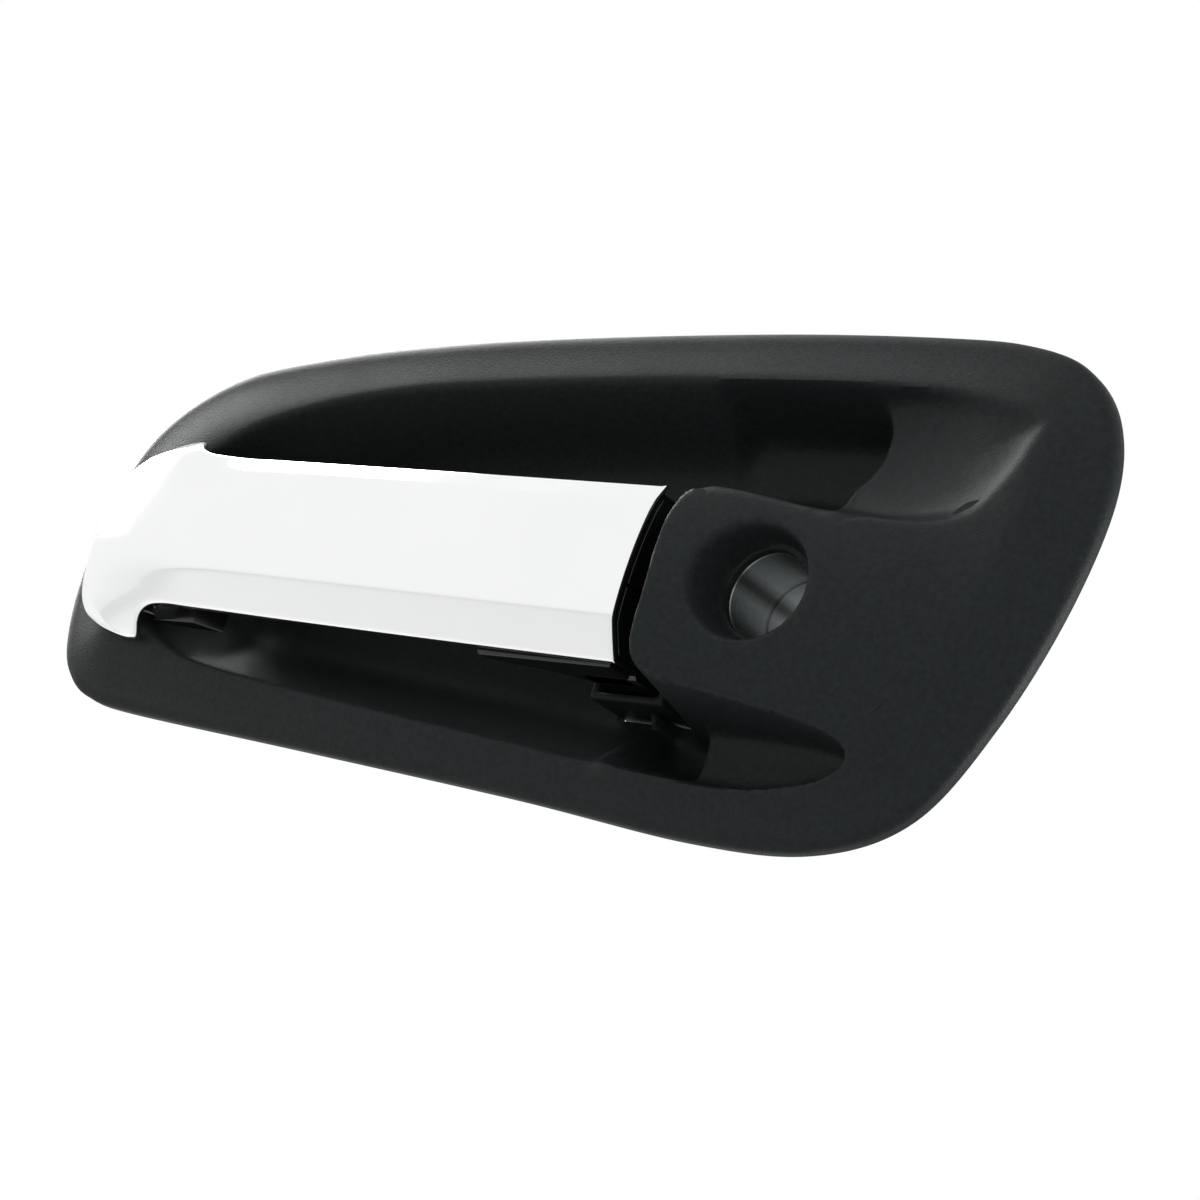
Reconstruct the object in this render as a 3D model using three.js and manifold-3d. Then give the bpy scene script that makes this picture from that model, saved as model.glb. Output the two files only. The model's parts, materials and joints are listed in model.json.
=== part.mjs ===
// Pull-type outside door handle: moulded bezel with finger pocket and lock boss, chromed grip hinged at
// its left end, empty lock barrel, and the pressed chassis, bellcrank and springs behind the door skin.
// Frame: +X along the handle to the right, +Y into the door, +Z up, millimetres. The origin is on the axis
// of the lock barrel, in the plane of the door skin's outer face.
import * as THREE from 'three';
import { mergeVertices } from 'three/addons/utils/BufferGeometryUtils.js';
import Module from 'manifold-3d';

const wasm = await Module();
wasm.setup();

// ---------------------------------------------------------------- driving dimensions
const WALL = 2.4; // moulded bezel wall
const RIM_BACK = -0.5; // back edge of the bezel's rim, just off the door skin
const RIM_FRONT = -2.6; // where the rim starts to round over
const RIM_ROUND = 3.2; // width of the rounded rim
const RIM_RISE = 2.0; // height gained over the rounded rim
const FLANGE_RISE = 3.2; // gentle crown of the flange towards the pocket
const FLANGE_RISE_WIDTH = 20;
const BOSS_FACE = -19.4; // boss face at the lock axis
const BOSS_SLOPE = 0.2; // boss face falls towards the flange, per mm of X
const BULGE_REACH = 24; // how far in from its rounded ends the plan of a moulding is drawn out
const BOSS_CROWN = 1.3 / (16 * 16);
const BOSS_MID_Z = -5;
const BOSS_END_X = -23;
const POCKET_FLOOR = 18;
const SKIN_GAP = 0.35; // gap kept between pieces that touch

const BORE_R = 10.5; // lock barrel bore
const SLEEVE_R = 12.4;
const SLEEVE_FRONT = -8.2;
const SLEEVE_BACK = 44;
const SLEEVE_GROOVE_R = 11.6; // groove for the retaining fork, just behind the chassis plate
const RECESS_R = 13.8; // mouth of the lock recess in the boss face
const RECESS_FLOOR = -9.8;
const RECESS_LIP = 1.2; // thin lip that covers the barrel's front edge

const HINGE = [-208, 7, 0]; // grip hinge axis, along Z
const HINGE_PIN_R = 3;
const HINGE_EYE_R = 6.4;
const HINGE_EYE = [-13, 4]; // hinge eye from its lower to its upper end
const HINGE_EARS = [[-17.5, -15], [14.5, 17]]; // chassis ears below and above the eye

const GRIP_END_X = -30;
const COVER_WALL = 1.6;
const BASE_BACK = -7.5; // finger side of the grip
const BASE_INSET = 3.2; // the core stays this far inside the cover's edges
const ARM = { left: -46.5, right: -31.2, low: -21.8, high: -8.5 }; // claw arm through the pocket floor
const ARM_BACK = 16;
const TAIL = { left: -46.5, right: -42.5, low: -22.2, high: -9.2, back: 55 }; // hooked tail
const GUIDE_WALL = 2;
const GUIDE_FRONT = 2;
const GUIDE_BACK = 22;

const PLATE_FRONT = 27; // pressed chassis plate
const PLATE_BACK = 29.5;

const CRANK = [-53.5, 37.5, 6]; // bellcrank axis, along X
const CRANK_REACH = 22.4;
const CRANK_REST = THREE.MathUtils.degToRad(28.5); // the finger stands this far behind the axis at rest
const CRANK_PIN_R = 2.5;
const CRANK_HUB_R = 5;
const CRANK_EARS = [[-61.5, -59.5], [-46.8, -44.8]];
const CRANK_PLATE = [-54.5, -51];
const FINGER_R = 3;
const SLOT_PLAY = 0.8; // room for the finger in the claw's slot as both turn

const SKIN_THICKNESS = 1.2; // door skin that the flange nuts clamp
const STUDS = [[-192, 29], [46, 19], [31, -19]];
const STUD_R = 3;
const STUD_BOSS_R = 6.5;
const STUD_FRONT = -4;
const STUD_BACK = 18;
const SCREWS = [[-150, 14], [-150, -14], [-82, 14], [-82, -14]];
const SCREW_R = 2;
const BUSH_R = 4.6; // bore of the hinge eye that takes the flanged bushes
const CLAW_SEAT = -7; // the claw arm is seated this deep under the grip's end

// ---------------------------------------------------------------- small maths
const clamp01 = (t) => Math.min(1, Math.max(0, t));
const mix = (a, b, t) => a + (b - a) * t;

function smooth(low, high, value) {
  const t = clamp01((value - low) / (high - low));
  return t * t * (3 - 2 * t);
}

const softMax = (a, b, k) => 0.5 * (a + b + Math.hypot(a - b, k));
const softMin = (a, b, k) => 0.5 * (a + b - Math.hypot(a - b, k));

// A rounded wall: starts at 0 at the lip, falls at the slope, and runs out into a floor at the given drop.
function wallDrop(inside, drop, slope, lip, foot) {
  const fall = softMax(slope * inside, 0, lip);
  return softMin(fall, drop, foot) - softMin(0, drop, foot);
}

// Catmull-Rom curve through points, sampled to a polyline; closed when asked.
function curvePoints(points, closed, stepsPerSpan) {
  const count = points.length;
  const spans = closed ? count : count - 1;
  const at = (i) => (closed ? points[(i + count) % count] : points[Math.min(count - 1, Math.max(0, i))]);
  const result = [];
  for (let span = 0; span < spans; span += 1) {
    const [a, b, c, d] = [at(span - 1), at(span), at(span + 1), at(span + 2)];
    for (let step = 0; step < stepsPerSpan; step += 1) {
      const t = step / stepsPerSpan;
      const value = [0, 1].map((axis) => 0.5 * (2 * b[axis] + (c[axis] - a[axis]) * t
        + (2 * a[axis] - 5 * b[axis] + 4 * c[axis] - d[axis]) * t * t
        + (3 * b[axis] - a[axis] - 3 * c[axis] + d[axis]) * t * t * t));
      result.push(value);
    }
  }
  if (!closed) {
    result.push(points[count - 1]);
  }
  return result;
}

// Signed distance from (x, z) to a closed polyline, positive inside.
function insideDistance(loop, x, z) {
  let nearest = Infinity;
  let inside = false;
  for (let i = 0, j = loop.length - 1; i < loop.length; j = i, i += 1) {
    const [ax, az] = loop[j];
    const [bx, bz] = loop[i];
    const t = clamp01(((x - ax) * (bx - ax) + (z - az) * (bz - az)) / ((bx - ax) ** 2 + (bz - az) ** 2));
    nearest = Math.min(nearest, Math.hypot(x - mix(ax, bx, t), z - mix(az, bz, t)));
    if ((az > z) !== (bz > z) && x < ((bx - ax) * (z - az)) / (bz - az) + ax) {
      inside = !inside;
    }
  }
  return inside ? nearest : -nearest;
}

// Values from one knot to the next, each knot giving [value, steps up to it].
function spread(start, knots) {
  const result = [start];
  let from = start;
  for (const [to, steps] of knots) {
    for (let i = 1; i <= steps; i += 1) {
      result.push(mix(from, to, i / steps));
    }
    from = to;
  }
  return result;
}

// ---------------------------------------------------------------- solids
const materials = {};

function material(name, color, roughness, metalness) {
  materials[name] = new THREE.MeshStandardMaterial({ name, color, roughness, metalness });
}

material('bezel_plastic', 0x2b2f2f, 0.62, 0);
material('gloss_black', 0x0b0c0c, 0.18, 0);
material('chrome', 0xeef1f2, 0.08, 1);
material('barrel_metal', 0x5a5d5e, 0.35, 1);
material('zinc_steel', 0xa9adb0, 0.38, 1);
material('spring_steel', 0x6f7377, 0.3, 1);
material('cast_zinc', 0x8b8f92, 0.5, 1);
material('foam', 0x1d1e1f, 0.95, 0);
material('rubber', 0x18191a, 0.9, 0);
material('nylon', 0xd9d6cb, 0.5, 0);

function toSolid(geometry) {
  const bare = geometry.index ? geometry.toNonIndexed() : geometry.clone();
  bare.deleteAttribute('normal');
  bare.deleteAttribute('uv');
  const merged = mergeVertices(bare, 1e-4);
  const mesh = new wasm.Mesh({
    numProp: 3,
    vertProperties: Float32Array.from(merged.attributes.position.array),
    triVerts: Uint32Array.from(merged.index.array),
  });
  return new wasm.Manifold(mesh);
}

function toGeometry(solid) {
  const mesh = solid.getMesh();
  const geometry = new THREE.BufferGeometry();
  geometry.setAttribute('position', new THREE.BufferAttribute(Float32Array.from(mesh.vertProperties), 3));
  geometry.setIndex(new THREE.BufferAttribute(Uint32Array.from(mesh.triVerts), 1));
  geometry.computeVertexNormals();
  return geometry;
}

const group = new THREE.Group();

function add(name, solidOrGeometry, look) {
  const geometry = solidOrGeometry.isBufferGeometry ? solidOrGeometry : toGeometry(solidOrGeometry);
  const mesh = new THREE.Mesh(geometry, materials[look]);
  mesh.name = name;
  group.add(mesh);
  return mesh;
}

// Box between two corners.
function box(low, high) {
  const size = high.map((value, i) => value - low[i]);
  const geometry = new THREE.BoxGeometry(...size);
  geometry.translate(...low.map((value, i) => value + size[i] / 2));
  return toSolid(geometry);
}

// Solid of revolution from [radius, height] points, turned onto an axis and moved to a point.
function turned(profile, axis, origin, segments) {
  const points = profile.map(([radius, height]) => new THREE.Vector2(radius, height));
  const geometry = new THREE.LatheGeometry(points, segments);
  if (axis === 'Z') {
    geometry.rotateX(Math.PI / 2);
  } else if (axis === 'X') {
    geometry.rotateZ(-Math.PI / 2);
  }
  geometry.translate(...origin);
  return toSolid(geometry);
}

// Plain round bar between two heights on its axis.
function bar(radius, from, to, axis, origin, segments = 20) {
  return turned([[0, from], [radius, from], [radius, to], [0, to]], axis, origin, segments);
}

// Plate from an outline in X and Y, between two heights in Z.
function plateXY(outline, low, high) {
  const shape = new THREE.Shape(outline.map(([x, y]) => new THREE.Vector2(x, y)));
  const geometry = new THREE.ExtrudeGeometry(shape, { depth: high - low, bevelEnabled: false });
  geometry.translate(0, 0, low);
  return toSolid(geometry);
}

// Plate from an outline in X and Z, between two depths in Y.
function plateXZ(outline, low, high) {
  const shape = new THREE.Shape(outline.map(([x, z]) => new THREE.Vector2(x, z)));
  const geometry = new THREE.ExtrudeGeometry(shape, { depth: high - low, bevelEnabled: false });
  geometry.rotateX(Math.PI / 2);
  geometry.translate(0, high, 0);
  return toSolid(geometry);
}

// Plate from an outline in Y and Z, between two places in X.
function plateYZ(outline, low, high) {
  const shape = new THREE.Shape(outline.map(([y, z]) => new THREE.Vector2(y, z)));
  const geometry = new THREE.ExtrudeGeometry(shape, { depth: high - low, bevelEnabled: false });
  geometry.rotateY(Math.PI / 2);
  geometry.rotateX(Math.PI / 2);
  geometry.translate(low, 0, 0);
  return toSolid(geometry);
}

// Round wire along a list of points.
function wire(points, radius, sides, steps) {
  const knots = points.map((point) => new THREE.Vector3(...point));
  const path = new THREE.CatmullRomCurve3(knots, false, 'centripetal');
  const section = new THREE.Shape();
  for (let i = 0; i < sides; i += 1) {
    const angle = (2 * Math.PI * i) / sides;
    const [x, y] = [radius * Math.cos(angle), radius * Math.sin(angle)];
    if (i === 0) {
      section.moveTo(x, y);
    } else {
      section.lineTo(x, y);
    }
  }
  section.closePath();
  return toSolid(new THREE.ExtrudeGeometry(section, { steps, extrudePath: path, bevelEnabled: false }));
}

// Screw along Y: shank from the tip to its seat, then a domed head with a cross recess behind it.
function makeScrew(x, z, tip, seat, shankR, headR, headHeight) {
  const head = seat + headHeight;
  const solid = turned([[0, tip], [shankR - 0.4, tip], [shankR, tip + 0.6], [shankR, seat], [headR, seat],
    [headR, seat + headHeight * 0.5], [headR * 0.72, head], [0, head]], 'Y', [x, 0, z], 12);
  const [arm, half] = [headR * 0.55, headR * 0.12];
  const cross = box([x - arm, head - 0.9, z - half], [x + arm, head + 1, z + half])
    .add(box([x - half, head - 0.9, z - arm], [x + half, head + 1, z + arm]));
  return solid.subtract(cross);
}

// Snap ring for a pin groove, 0.8 thick, open on one side.
function makeClip(groovePoint, axis, innerR) {
  const outerR = innerR + 2.4;
  const ring = [[innerR, 0], [outerR, 0], [outerR, 0.8], [innerR, 0.8], [innerR, 0]];
  const solid = turned(ring, axis, groovePoint, 20);
  const [x, y, z] = groovePoint;
  const half = innerR * 0.75;
  return solid.subtract(box([x - half, y - 9, z - half], [x + (axis === 'X' ? 2 : half), y, z + half]));
}

// Closed shell from two grids of points that share their rows and columns.
function shellFromGrids(front, back) {
  const rows = front.length;
  const columns = front[0].length;
  const positions = [];
  const triangles = [];
  for (const grid of [front, back]) {
    for (const row of grid) {
      for (const point of row) {
        positions.push(...point);
      }
    }
  }
  const at = (layer, row, column) => layer * rows * columns + row * columns + column;
  const quad = (a, b, c, d) => triangles.push(a, b, c, a, c, d);
  for (let row = 0; row < rows - 1; row += 1) {
    for (let column = 0; column < columns - 1; column += 1) {
      quad(at(0, row, column), at(0, row, column + 1), at(0, row + 1, column + 1), at(0, row + 1, column));
      quad(at(1, row, column), at(1, row + 1, column), at(1, row + 1, column + 1), at(1, row, column + 1));
    }
  }
  for (let column = 0; column < columns - 1; column += 1) {
    quad(at(0, 0, column), at(1, 0, column), at(1, 0, column + 1), at(0, 0, column + 1));
    quad(at(0, rows - 1, column + 1), at(1, rows - 1, column + 1), at(1, rows - 1, column),
      at(0, rows - 1, column));
  }
  for (let row = 0; row < rows - 1; row += 1) {
    quad(at(0, row + 1, 0), at(1, row + 1, 0), at(1, row, 0), at(0, row, 0));
    quad(at(0, row, columns - 1), at(1, row, columns - 1), at(1, row + 1, columns - 1),
      at(0, row + 1, columns - 1));
  }
  const geometry = new THREE.BufferGeometry();
  geometry.setAttribute('position', new THREE.Float32BufferAttribute(positions, 3));
  geometry.setIndex(triangles);
  return toSolid(geometry);
}

// Point of a polyline at a share of its length.
function alongLine(line) {
  const lengths = [0];
  for (let i = 1; i < line.length; i += 1) {
    lengths.push(lengths[i - 1] + Math.hypot(line[i][0] - line[i - 1][0], line[i][1] - line[i - 1][1]));
  }
  return (t) => {
    const wanted = t * lengths[lengths.length - 1];
    let i = 1;
    while (i < line.length - 1 && lengths[i] < wanted) {
      i += 1;
    }
    const part = clamp01((wanted - lengths[i - 1]) / (lengths[i] - lengths[i - 1]));
    return [mix(line[i - 1][0], line[i][0], part), mix(line[i - 1][1], line[i][1], part)];
  };
}

// Height of a polyline that runs in +X, at x.
function heightAt(line, x) {
  let i = 1;
  while (i < line.length - 1 && line[i][0] < x) {
    i += 1;
  }
  return mix(line[i - 1][1], line[i][1], clamp01((x - line[i - 1][0]) / (line[i][0] - line[i - 1][0])));
}

// Four-sided patch in plan. Its columns stand at constant X between the bottom and top sides, and the
// bulge of the left and right sides dies out as a square over the reach.
function patch(sides, reach) {
  const { bottom, right, top, left } = sides;
  const [onRight, onLeft] = [right, left].map(alongLine);
  const [startX, endX] = [bottom[0][0], bottom[bottom.length - 1][0]];
  const chord = (x, v) => [x, mix(heightAt(bottom, x), heightAt(top, x), v)];
  return (x, v) => {
    const leftPull = clamp01(1 - (x - startX) / reach) ** 2;
    const rightPull = clamp01(1 - (endX - x) / reach) ** 2;
    return [0, 1].map((axis) => chord(x, v)[axis]
      + leftPull * (onLeft(v)[axis] - chord(startX, v)[axis])
      + rightPull * (onRight(v)[axis] - chord(endX, v)[axis]));
  };
}

// Front and back grids of a patch; the back grid follows its own function and closes at the edge depth.
function patchShell(place, xs, vs, frontY, backY) {
  const front = [];
  const back = [];
  for (const v of vs) {
    const frontRow = [];
    const backRow = [];
    for (const x of xs) {
      const [px, pz] = place(x, v);
      const edge = x === xs[0] || x === xs[xs.length - 1] || v === 0 || v === 1;
      const y = frontY(px, pz);
      frontRow.push([px, y, pz]);
      backRow.push([px, backY(px, pz, y, edge), pz]);
    }
    front.push(frontRow);
    back.push(backRow);
  }
  return shellFromGrids(front, back);
}

// ---------------------------------------------------------------- bezel
// Outline seen from the front. The sides meet at corners that stand at equal X above each other.
const CORNER_LEFT = -206;
const CORNER_RIGHT = 46;
const OUTLINE_BOTTOM = [[CORNER_LEFT, -40.4], [-190, -43], [-130, -46.9], [-60, -51.7], [-8, -56.2], [24, -55],
  [CORNER_RIGHT, -45]];
const OUTLINE_RIGHT = [[CORNER_RIGHT, -45], [60, -23], [70, 4], [74.5, 30], [71, 48], [61, 59.5],
  [CORNER_RIGHT, 64.5]];
const OUTLINE_TOP = [[CORNER_RIGHT, 64.5], [24, 66.2], [-20, 66.5], [-80, 64.5], [-130, 61], [-170, 55.5],
  [-190, 50],  [CORNER_LEFT, 40]];
const OUTLINE_LEFT = [[CORNER_LEFT, 40], [-216, 27], [-221.5, 8], [-222.5, -12], [-219.5, -28], [-214, -36],
  [CORNER_LEFT, -40.4]];
const OUTLINE_SIDES = [OUTLINE_BOTTOM, OUTLINE_RIGHT, OUTLINE_TOP, OUTLINE_LEFT];
const CURVE_STEPS = 6;

// Closed curve through four sides, and the same curve cut back into its sides, each running in +X or +Z.
function closedSides(sides) {
  const loop = curvePoints(sides.flatMap((side) => side.slice(0, -1)), true, CURVE_STEPS);
  const pieces = [];
  let start = 0;
  for (const side of sides) {
    const stop = start + (side.length - 1) * CURVE_STEPS;
    pieces.push([...loop, loop[0]].slice(start, stop + 1));
    start = stop;
  }
  const [bottom, right, top, left] = pieces;
  return { loop, bottom, right, top: top.reverse(), left: left.reverse() };
}

const bezelSides = closedSides(OUTLINE_SIDES);
const outline = bezelSides.loop;

// Lip of the pocket: dish end, top edge, hinge end, bottom edge, tail, then back around the lock boss.
const POCKET_KNOTS = [[55.5, 45.5], [44.5, 49.3], [18, 52.5], [-36, 52.8], [-96, 50.4], [-128, 47.6], [-155, 42.2],
  [-176, 34], [-191, 20], [-195, 2], [-191, -16], [-177, -26.5], [-154, -30.8], [-95, -36.8], [-33, -42.4],
  [0, -44.3], [20, -41.5], [28.3, -37.5], [30, -33.8], [26, -30.6], [14, -28], [-3, -26], [-18, -24],
  [BOSS_END_X, -19], [BOSS_END_X, -5], [BOSS_END_X, 14], [-17, 21.4], [8, 19.4], [31, 19.2], [43.5, 22.3],
  [50.2, 30.4], [54.2, 38.5]];
const pocketLip = curvePoints(POCKET_KNOTS, true, 4);

const DISH_ARC = { x: 1, z: 41.8, r: 13.3 }; // where the deep pocket stops under the dish
const TAIL_START_X = -14;

function bossFace(x, z) {
  return BOSS_FACE + BOSS_SLOPE * x + BOSS_CROWN * (z - BOSS_MID_Z) ** 2;
}

// Outer skin without the pocket: rounded rim, crowned flange, and the ramp up to the lock boss.
function outerSkin(x, z, grow) {
  const inside = Math.max(0, insideDistance(outline, x, z));
  const round = Math.sqrt(1 - (1 - clamp01(inside / RIM_ROUND)) ** 2);
  const flange = RIM_FRONT - RIM_RISE * round - FLANGE_RISE * smooth(0, FLANGE_RISE_WIDTH, inside);
  const across = smooth(50, 23, z) * smooth(-50, -27, z);
  const ramp = across * smooth(0, FLANGE_RISE_WIDTH, inside);
  const ends = smooth(BOSS_END_X - 16 + grow, BOSS_END_X - 8 + grow, x);
  return mix(flange, softMin(flange, bossFace(x, z), 2), ramp * ends);
}

// Depth of the pocket's floor: deep behind the grip, stepping up to the dish above and the tail below.
function pocketFloor(x, z, grow) {
  const bowl = POCKET_FLOOR - 3 * ((z - 6) / 40) ** 2;
  const step = z > 0 ? -1 - 0.16 * Math.max(x - 14, -4) : 3 - 0.12 * Math.max(x - TAIL_START_X, 0);
  const past = Math.max(0, x - DISH_ARC.x);
  const upper = DISH_ARC.r - Math.hypot(past, (z - DISH_ARC.z) * clamp01(past / 8));
  const lower = TAIL_START_X - x;
  const deep = grow + (z > 0 ? upper : lower);
  return step + wallDrop(deep, bowl - step, 3.5, 2.4, 4);
}

// Front surface of the bezel; with grow it is the back surface, whose pocket and recess are wider by that.
function bezelSurface(x, z, grow) {
  const skin = outerSkin(x, z, grow);
  const inside = insideDistance(pocketLip, x, z) + grow;
  const endWall = smooth(BOSS_END_X + 3, BOSS_END_X - 2, x) * smooth(27, 20, Math.abs(z + 2.5));
  const nearBoss = smooth(12, 4, BOSS_END_X - x);
  const slope = 1.9 + nearBoss * (1.5 + 3.6 * endWall + 2 * smooth(-18, -24, z));
  const pocket = wallDrop(inside, Math.max(0.5, pocketFloor(x, z, grow) - skin), slope, 1.4, 6);
  const recess = wallDrop(RECESS_R + grow - Math.hypot(x, z), RECESS_FLOOR - skin, 3.2, 2.4, 1.2);
  return skin + pocket + Math.max(0, recess) + (grow > 0 ? WALL : 0);
}

const HINGE_WINDOW = [[-206, -20, -17], [-182, 20, 9]]; // where the hinge arm passes the bezel
const GUIDE_WINDOW = [
  [ARM.left - GUIDE_WALL - 1.6, -1, ARM.low - GUIDE_WALL - 1.6],
  [ARM.right + GUIDE_WALL + 1.6, 26, ARM.high + GUIDE_WALL + 1.6],
];
const SCREW_TOWER_R = 4.5;

function makeBezel() {
  const place = patch(bezelSides, BULGE_REACH);
  const xs = spread(CORNER_LEFT, [[-198, 2], [-160, 6], [-40, 5], [-32, 2], [-20, 8], [-10, 2], [8, 4], [18, 4],
    [24, 1], [36, 4], [CORNER_RIGHT, 5]]);
  const vs = spread(0, [[0.03, 1], [0.14, 3], [0.29, 6], [0.64, 5], [0.7, 2], [0.81, 3], [0.93, 5], [0.975, 1],
    [1, 1]]);
  const backY = (x, z, y, edge) => (edge ? RIM_BACK : Math.max(y + 1.2, bezelSurface(x, z, WALL)));
  let solid = patchShell(place, xs, vs, (x, z) => bezelSurface(x, z, 0), backY);
  for (const [x, z] of STUDS) {
    solid = solid.add(bar(STUD_BOSS_R, bezelSurface(x, z, 0) + 1, -SKIN_GAP, 'Y', [x, 0, z]));
    solid = solid.subtract(bar(STUD_R + SKIN_GAP, STUD_FRONT - SKIN_GAP, 1, 'Y', [x, 0, z]));
  }
  for (const [x, z] of SCREWS) {
    const floor = bezelSurface(x, z, 0);
    solid = solid.add(bar(SCREW_TOWER_R, floor + 1, PLATE_FRONT - SKIN_GAP, 'Y', [x, 0, z]));
    solid = solid.subtract(bar(SCREW_R + SKIN_GAP, floor + 3, PLATE_BACK, 'Y', [x, 0, z]));
  }
  solid = solid.subtract(bar(BORE_R + 0.2, -40, 20, 'Y', [0, 0, 0], 36));
  solid = solid.subtract(bar(SLEEVE_R + SKIN_GAP, RECESS_FLOOR + RECESS_LIP, 20, 'Y', [0, 0, 0], 36));
  solid = solid.subtract(box(...HINGE_WINDOW));
  return solid.subtract(box(...GUIDE_WINDOW));
}

add('bezel', makeBezel(), 'bezel_plastic');

// ---------------------------------------------------------------- chromed cover and grip
const COVER_NOSE_X = -204;
const COVER_TOP = [[GRIP_END_X, 21.9], [-80, 22.6], [-125, 23.1], [-155, 23.4], [-172, 23.6], [-178, 24.8],
  [-181.5, 27.2], [-184.5, 29], [-188.5, 29.2], [-195, 27.7], [COVER_NOSE_X, 24.4]];
const COVER_LEFT = [[COVER_NOSE_X, 24.4], [-211.5, 19], [-216, 11], [-217.6, 0], [-216.2, -11.5], [-211.6, -18.4],
  [COVER_NOSE_X, -22.4]];
const COVER_BOTTOM = [[COVER_NOSE_X, -22.4], [-195.5, -24.8], [-189.2, -25.5], [-187.2, -24.4], [-186.5, -21.6],
  [-185, -19.3], [-181.4, -17.8], [-175, -17.4], [-163, -17.9], [-140, -18.7], [-105, -19.7], [-65, -20.7],
  [GRIP_END_X, -21.5]];
const COVER_PATH = [COVER_TOP, COVER_LEFT, COVER_BOTTOM];

// Open curve round the cover from its upper right corner to its lower right one, cut back into its sides.
function openSides(sides) {
  const path = curvePoints([sides[0][0], ...sides.flatMap((side) => side.slice(1))], false, CURVE_STEPS);
  const topEnd = (sides[0].length - 1) * CURVE_STEPS;
  const leftEnd = topEnd + (sides[1].length - 1) * CURVE_STEPS;
  return {
    loop: path.slice().reverse(),
    top: path.slice(0, topEnd + 1).reverse(),
    left: path.slice(topEnd, leftEnd + 1).reverse(),
    bottom: path.slice(leftEnd),
    right: [path[path.length - 1], path[0]],
  };
}

const coverSides = openSides(COVER_PATH);
const coverLoop = coverSides.loop;

const COVER_FACE = -22.95;
const FLANGE_GAP = 1.5; // the flared end stays this far off the bezel's flange
const BAR_HIGH = 21.9;
const BAR_LOW = -21.5;

// Bar section: a crowned face with a flat facet along its lower edge and a narrow bevel along its top.
function barFace(x, z) {
  const share = clamp01((GRIP_END_X - x) / 140);
  const low = mix(BAR_LOW, -17.9, share);
  const high = mix(BAR_HIGH, 23.4, share);
  const across = mix(BAR_LOW, BAR_HIGH, (z - low) / (high - low));
  const crown = COVER_FACE + 3.6 * ((across + 7) / 26) ** 2;
  const facet = -22.8 + 0.59 * (-12.5 - across);
  const bevel = -19.8 + 0.6 * (across - 17.2);
  return softMax(softMax(crown, facet, 0.4), bevel, 0.3);
}

// Fall of the whole face towards the hinge end.
const noseFall = (x) => 13 * (Math.max(0, -148 - x) / 69) ** 2.2;

// Sweep of the flared end, carried on past the notch and the hook, so that they only trim the surface.
const SWEEP_BELOW = [[-204, -22.4], [-195.5, -24.8], [-187, -26.2], [-178, -27.4], [-165, -28.4], [-30, -30]];
const SWEEP_ABOVE = [[-30, 34], [-165, 33], [-178, 31.6], [-187, 29.7], [-195, 27.7], [-204, 24.4]];
const sweepLoop = curvePoints([...SWEEP_BELOW, ...SWEEP_ABOVE, ...COVER_LEFT.slice(1, -1)], true, CURVE_STEPS);

// Flared hinge end: the face runs down to an edge just over the flange.
function fanFace(x, z) {
  const rest = outerSkin(x, z, 0) - COVER_WALL - FLANGE_GAP;
  const inside = Math.max(0, insideDistance(sweepLoop, x, z));
  const face = COVER_FACE + 3.2 * ((z - 2) / 28) ** 2 + noseFall(x);
  const steep = mix(0.75, 1.15, smooth(-14, 6, z));
  const soft = mix(5, 0.8, smooth(-14, 6, z));
  return Math.min(softMax(face, rest - steep * inside - soft * 0.2, soft), rest);
}

function coverSurface(x, z) {
  return mix(barFace(x, z) + noseFall(x), fanFace(x, z), smooth(-158, -186, x));
}

const coverPlace = patch(coverSides, BULGE_REACH);
const COVER_SCREWS = [[-150, 2], [-62, 0]];
const COVER_BOSS_BACK = -14.6;

function makeCover() {
  const xs = spread(COVER_NOSE_X, [[-196, 2], [-170, 9], [-150, 2], [-34, 4], [GRIP_END_X, 1]]);
  const vs = spread(0, [[0.06, 1], [0.2, 2], [0.8, 5], [0.9, 2], [1, 2]]);
  let solid = patchShell(coverPlace, xs, vs, coverSurface, (x, z, y) => y + COVER_WALL);
  for (const [x, z] of COVER_SCREWS) {
    solid = solid.add(bar(3.2, coverSurface(x, z) + 0.8, COVER_BOSS_BACK, 'Y', [x, 0, z], 16));
    solid = solid.subtract(bar(1.8, coverSurface(x, z) + 2.4, COVER_BOSS_BACK + 1, 'Y', [x, 0, z], 16));
  }
  return solid;
}

add('grip_cover', makeCover(), 'chrome');

const BASE_START_X = -176;
const BASE_END_X = GRIP_END_X - 3;
const ROOT_RIB = [-19.6, -11.5]; // rib under the hinge arm, from its lower to its upper side

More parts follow.
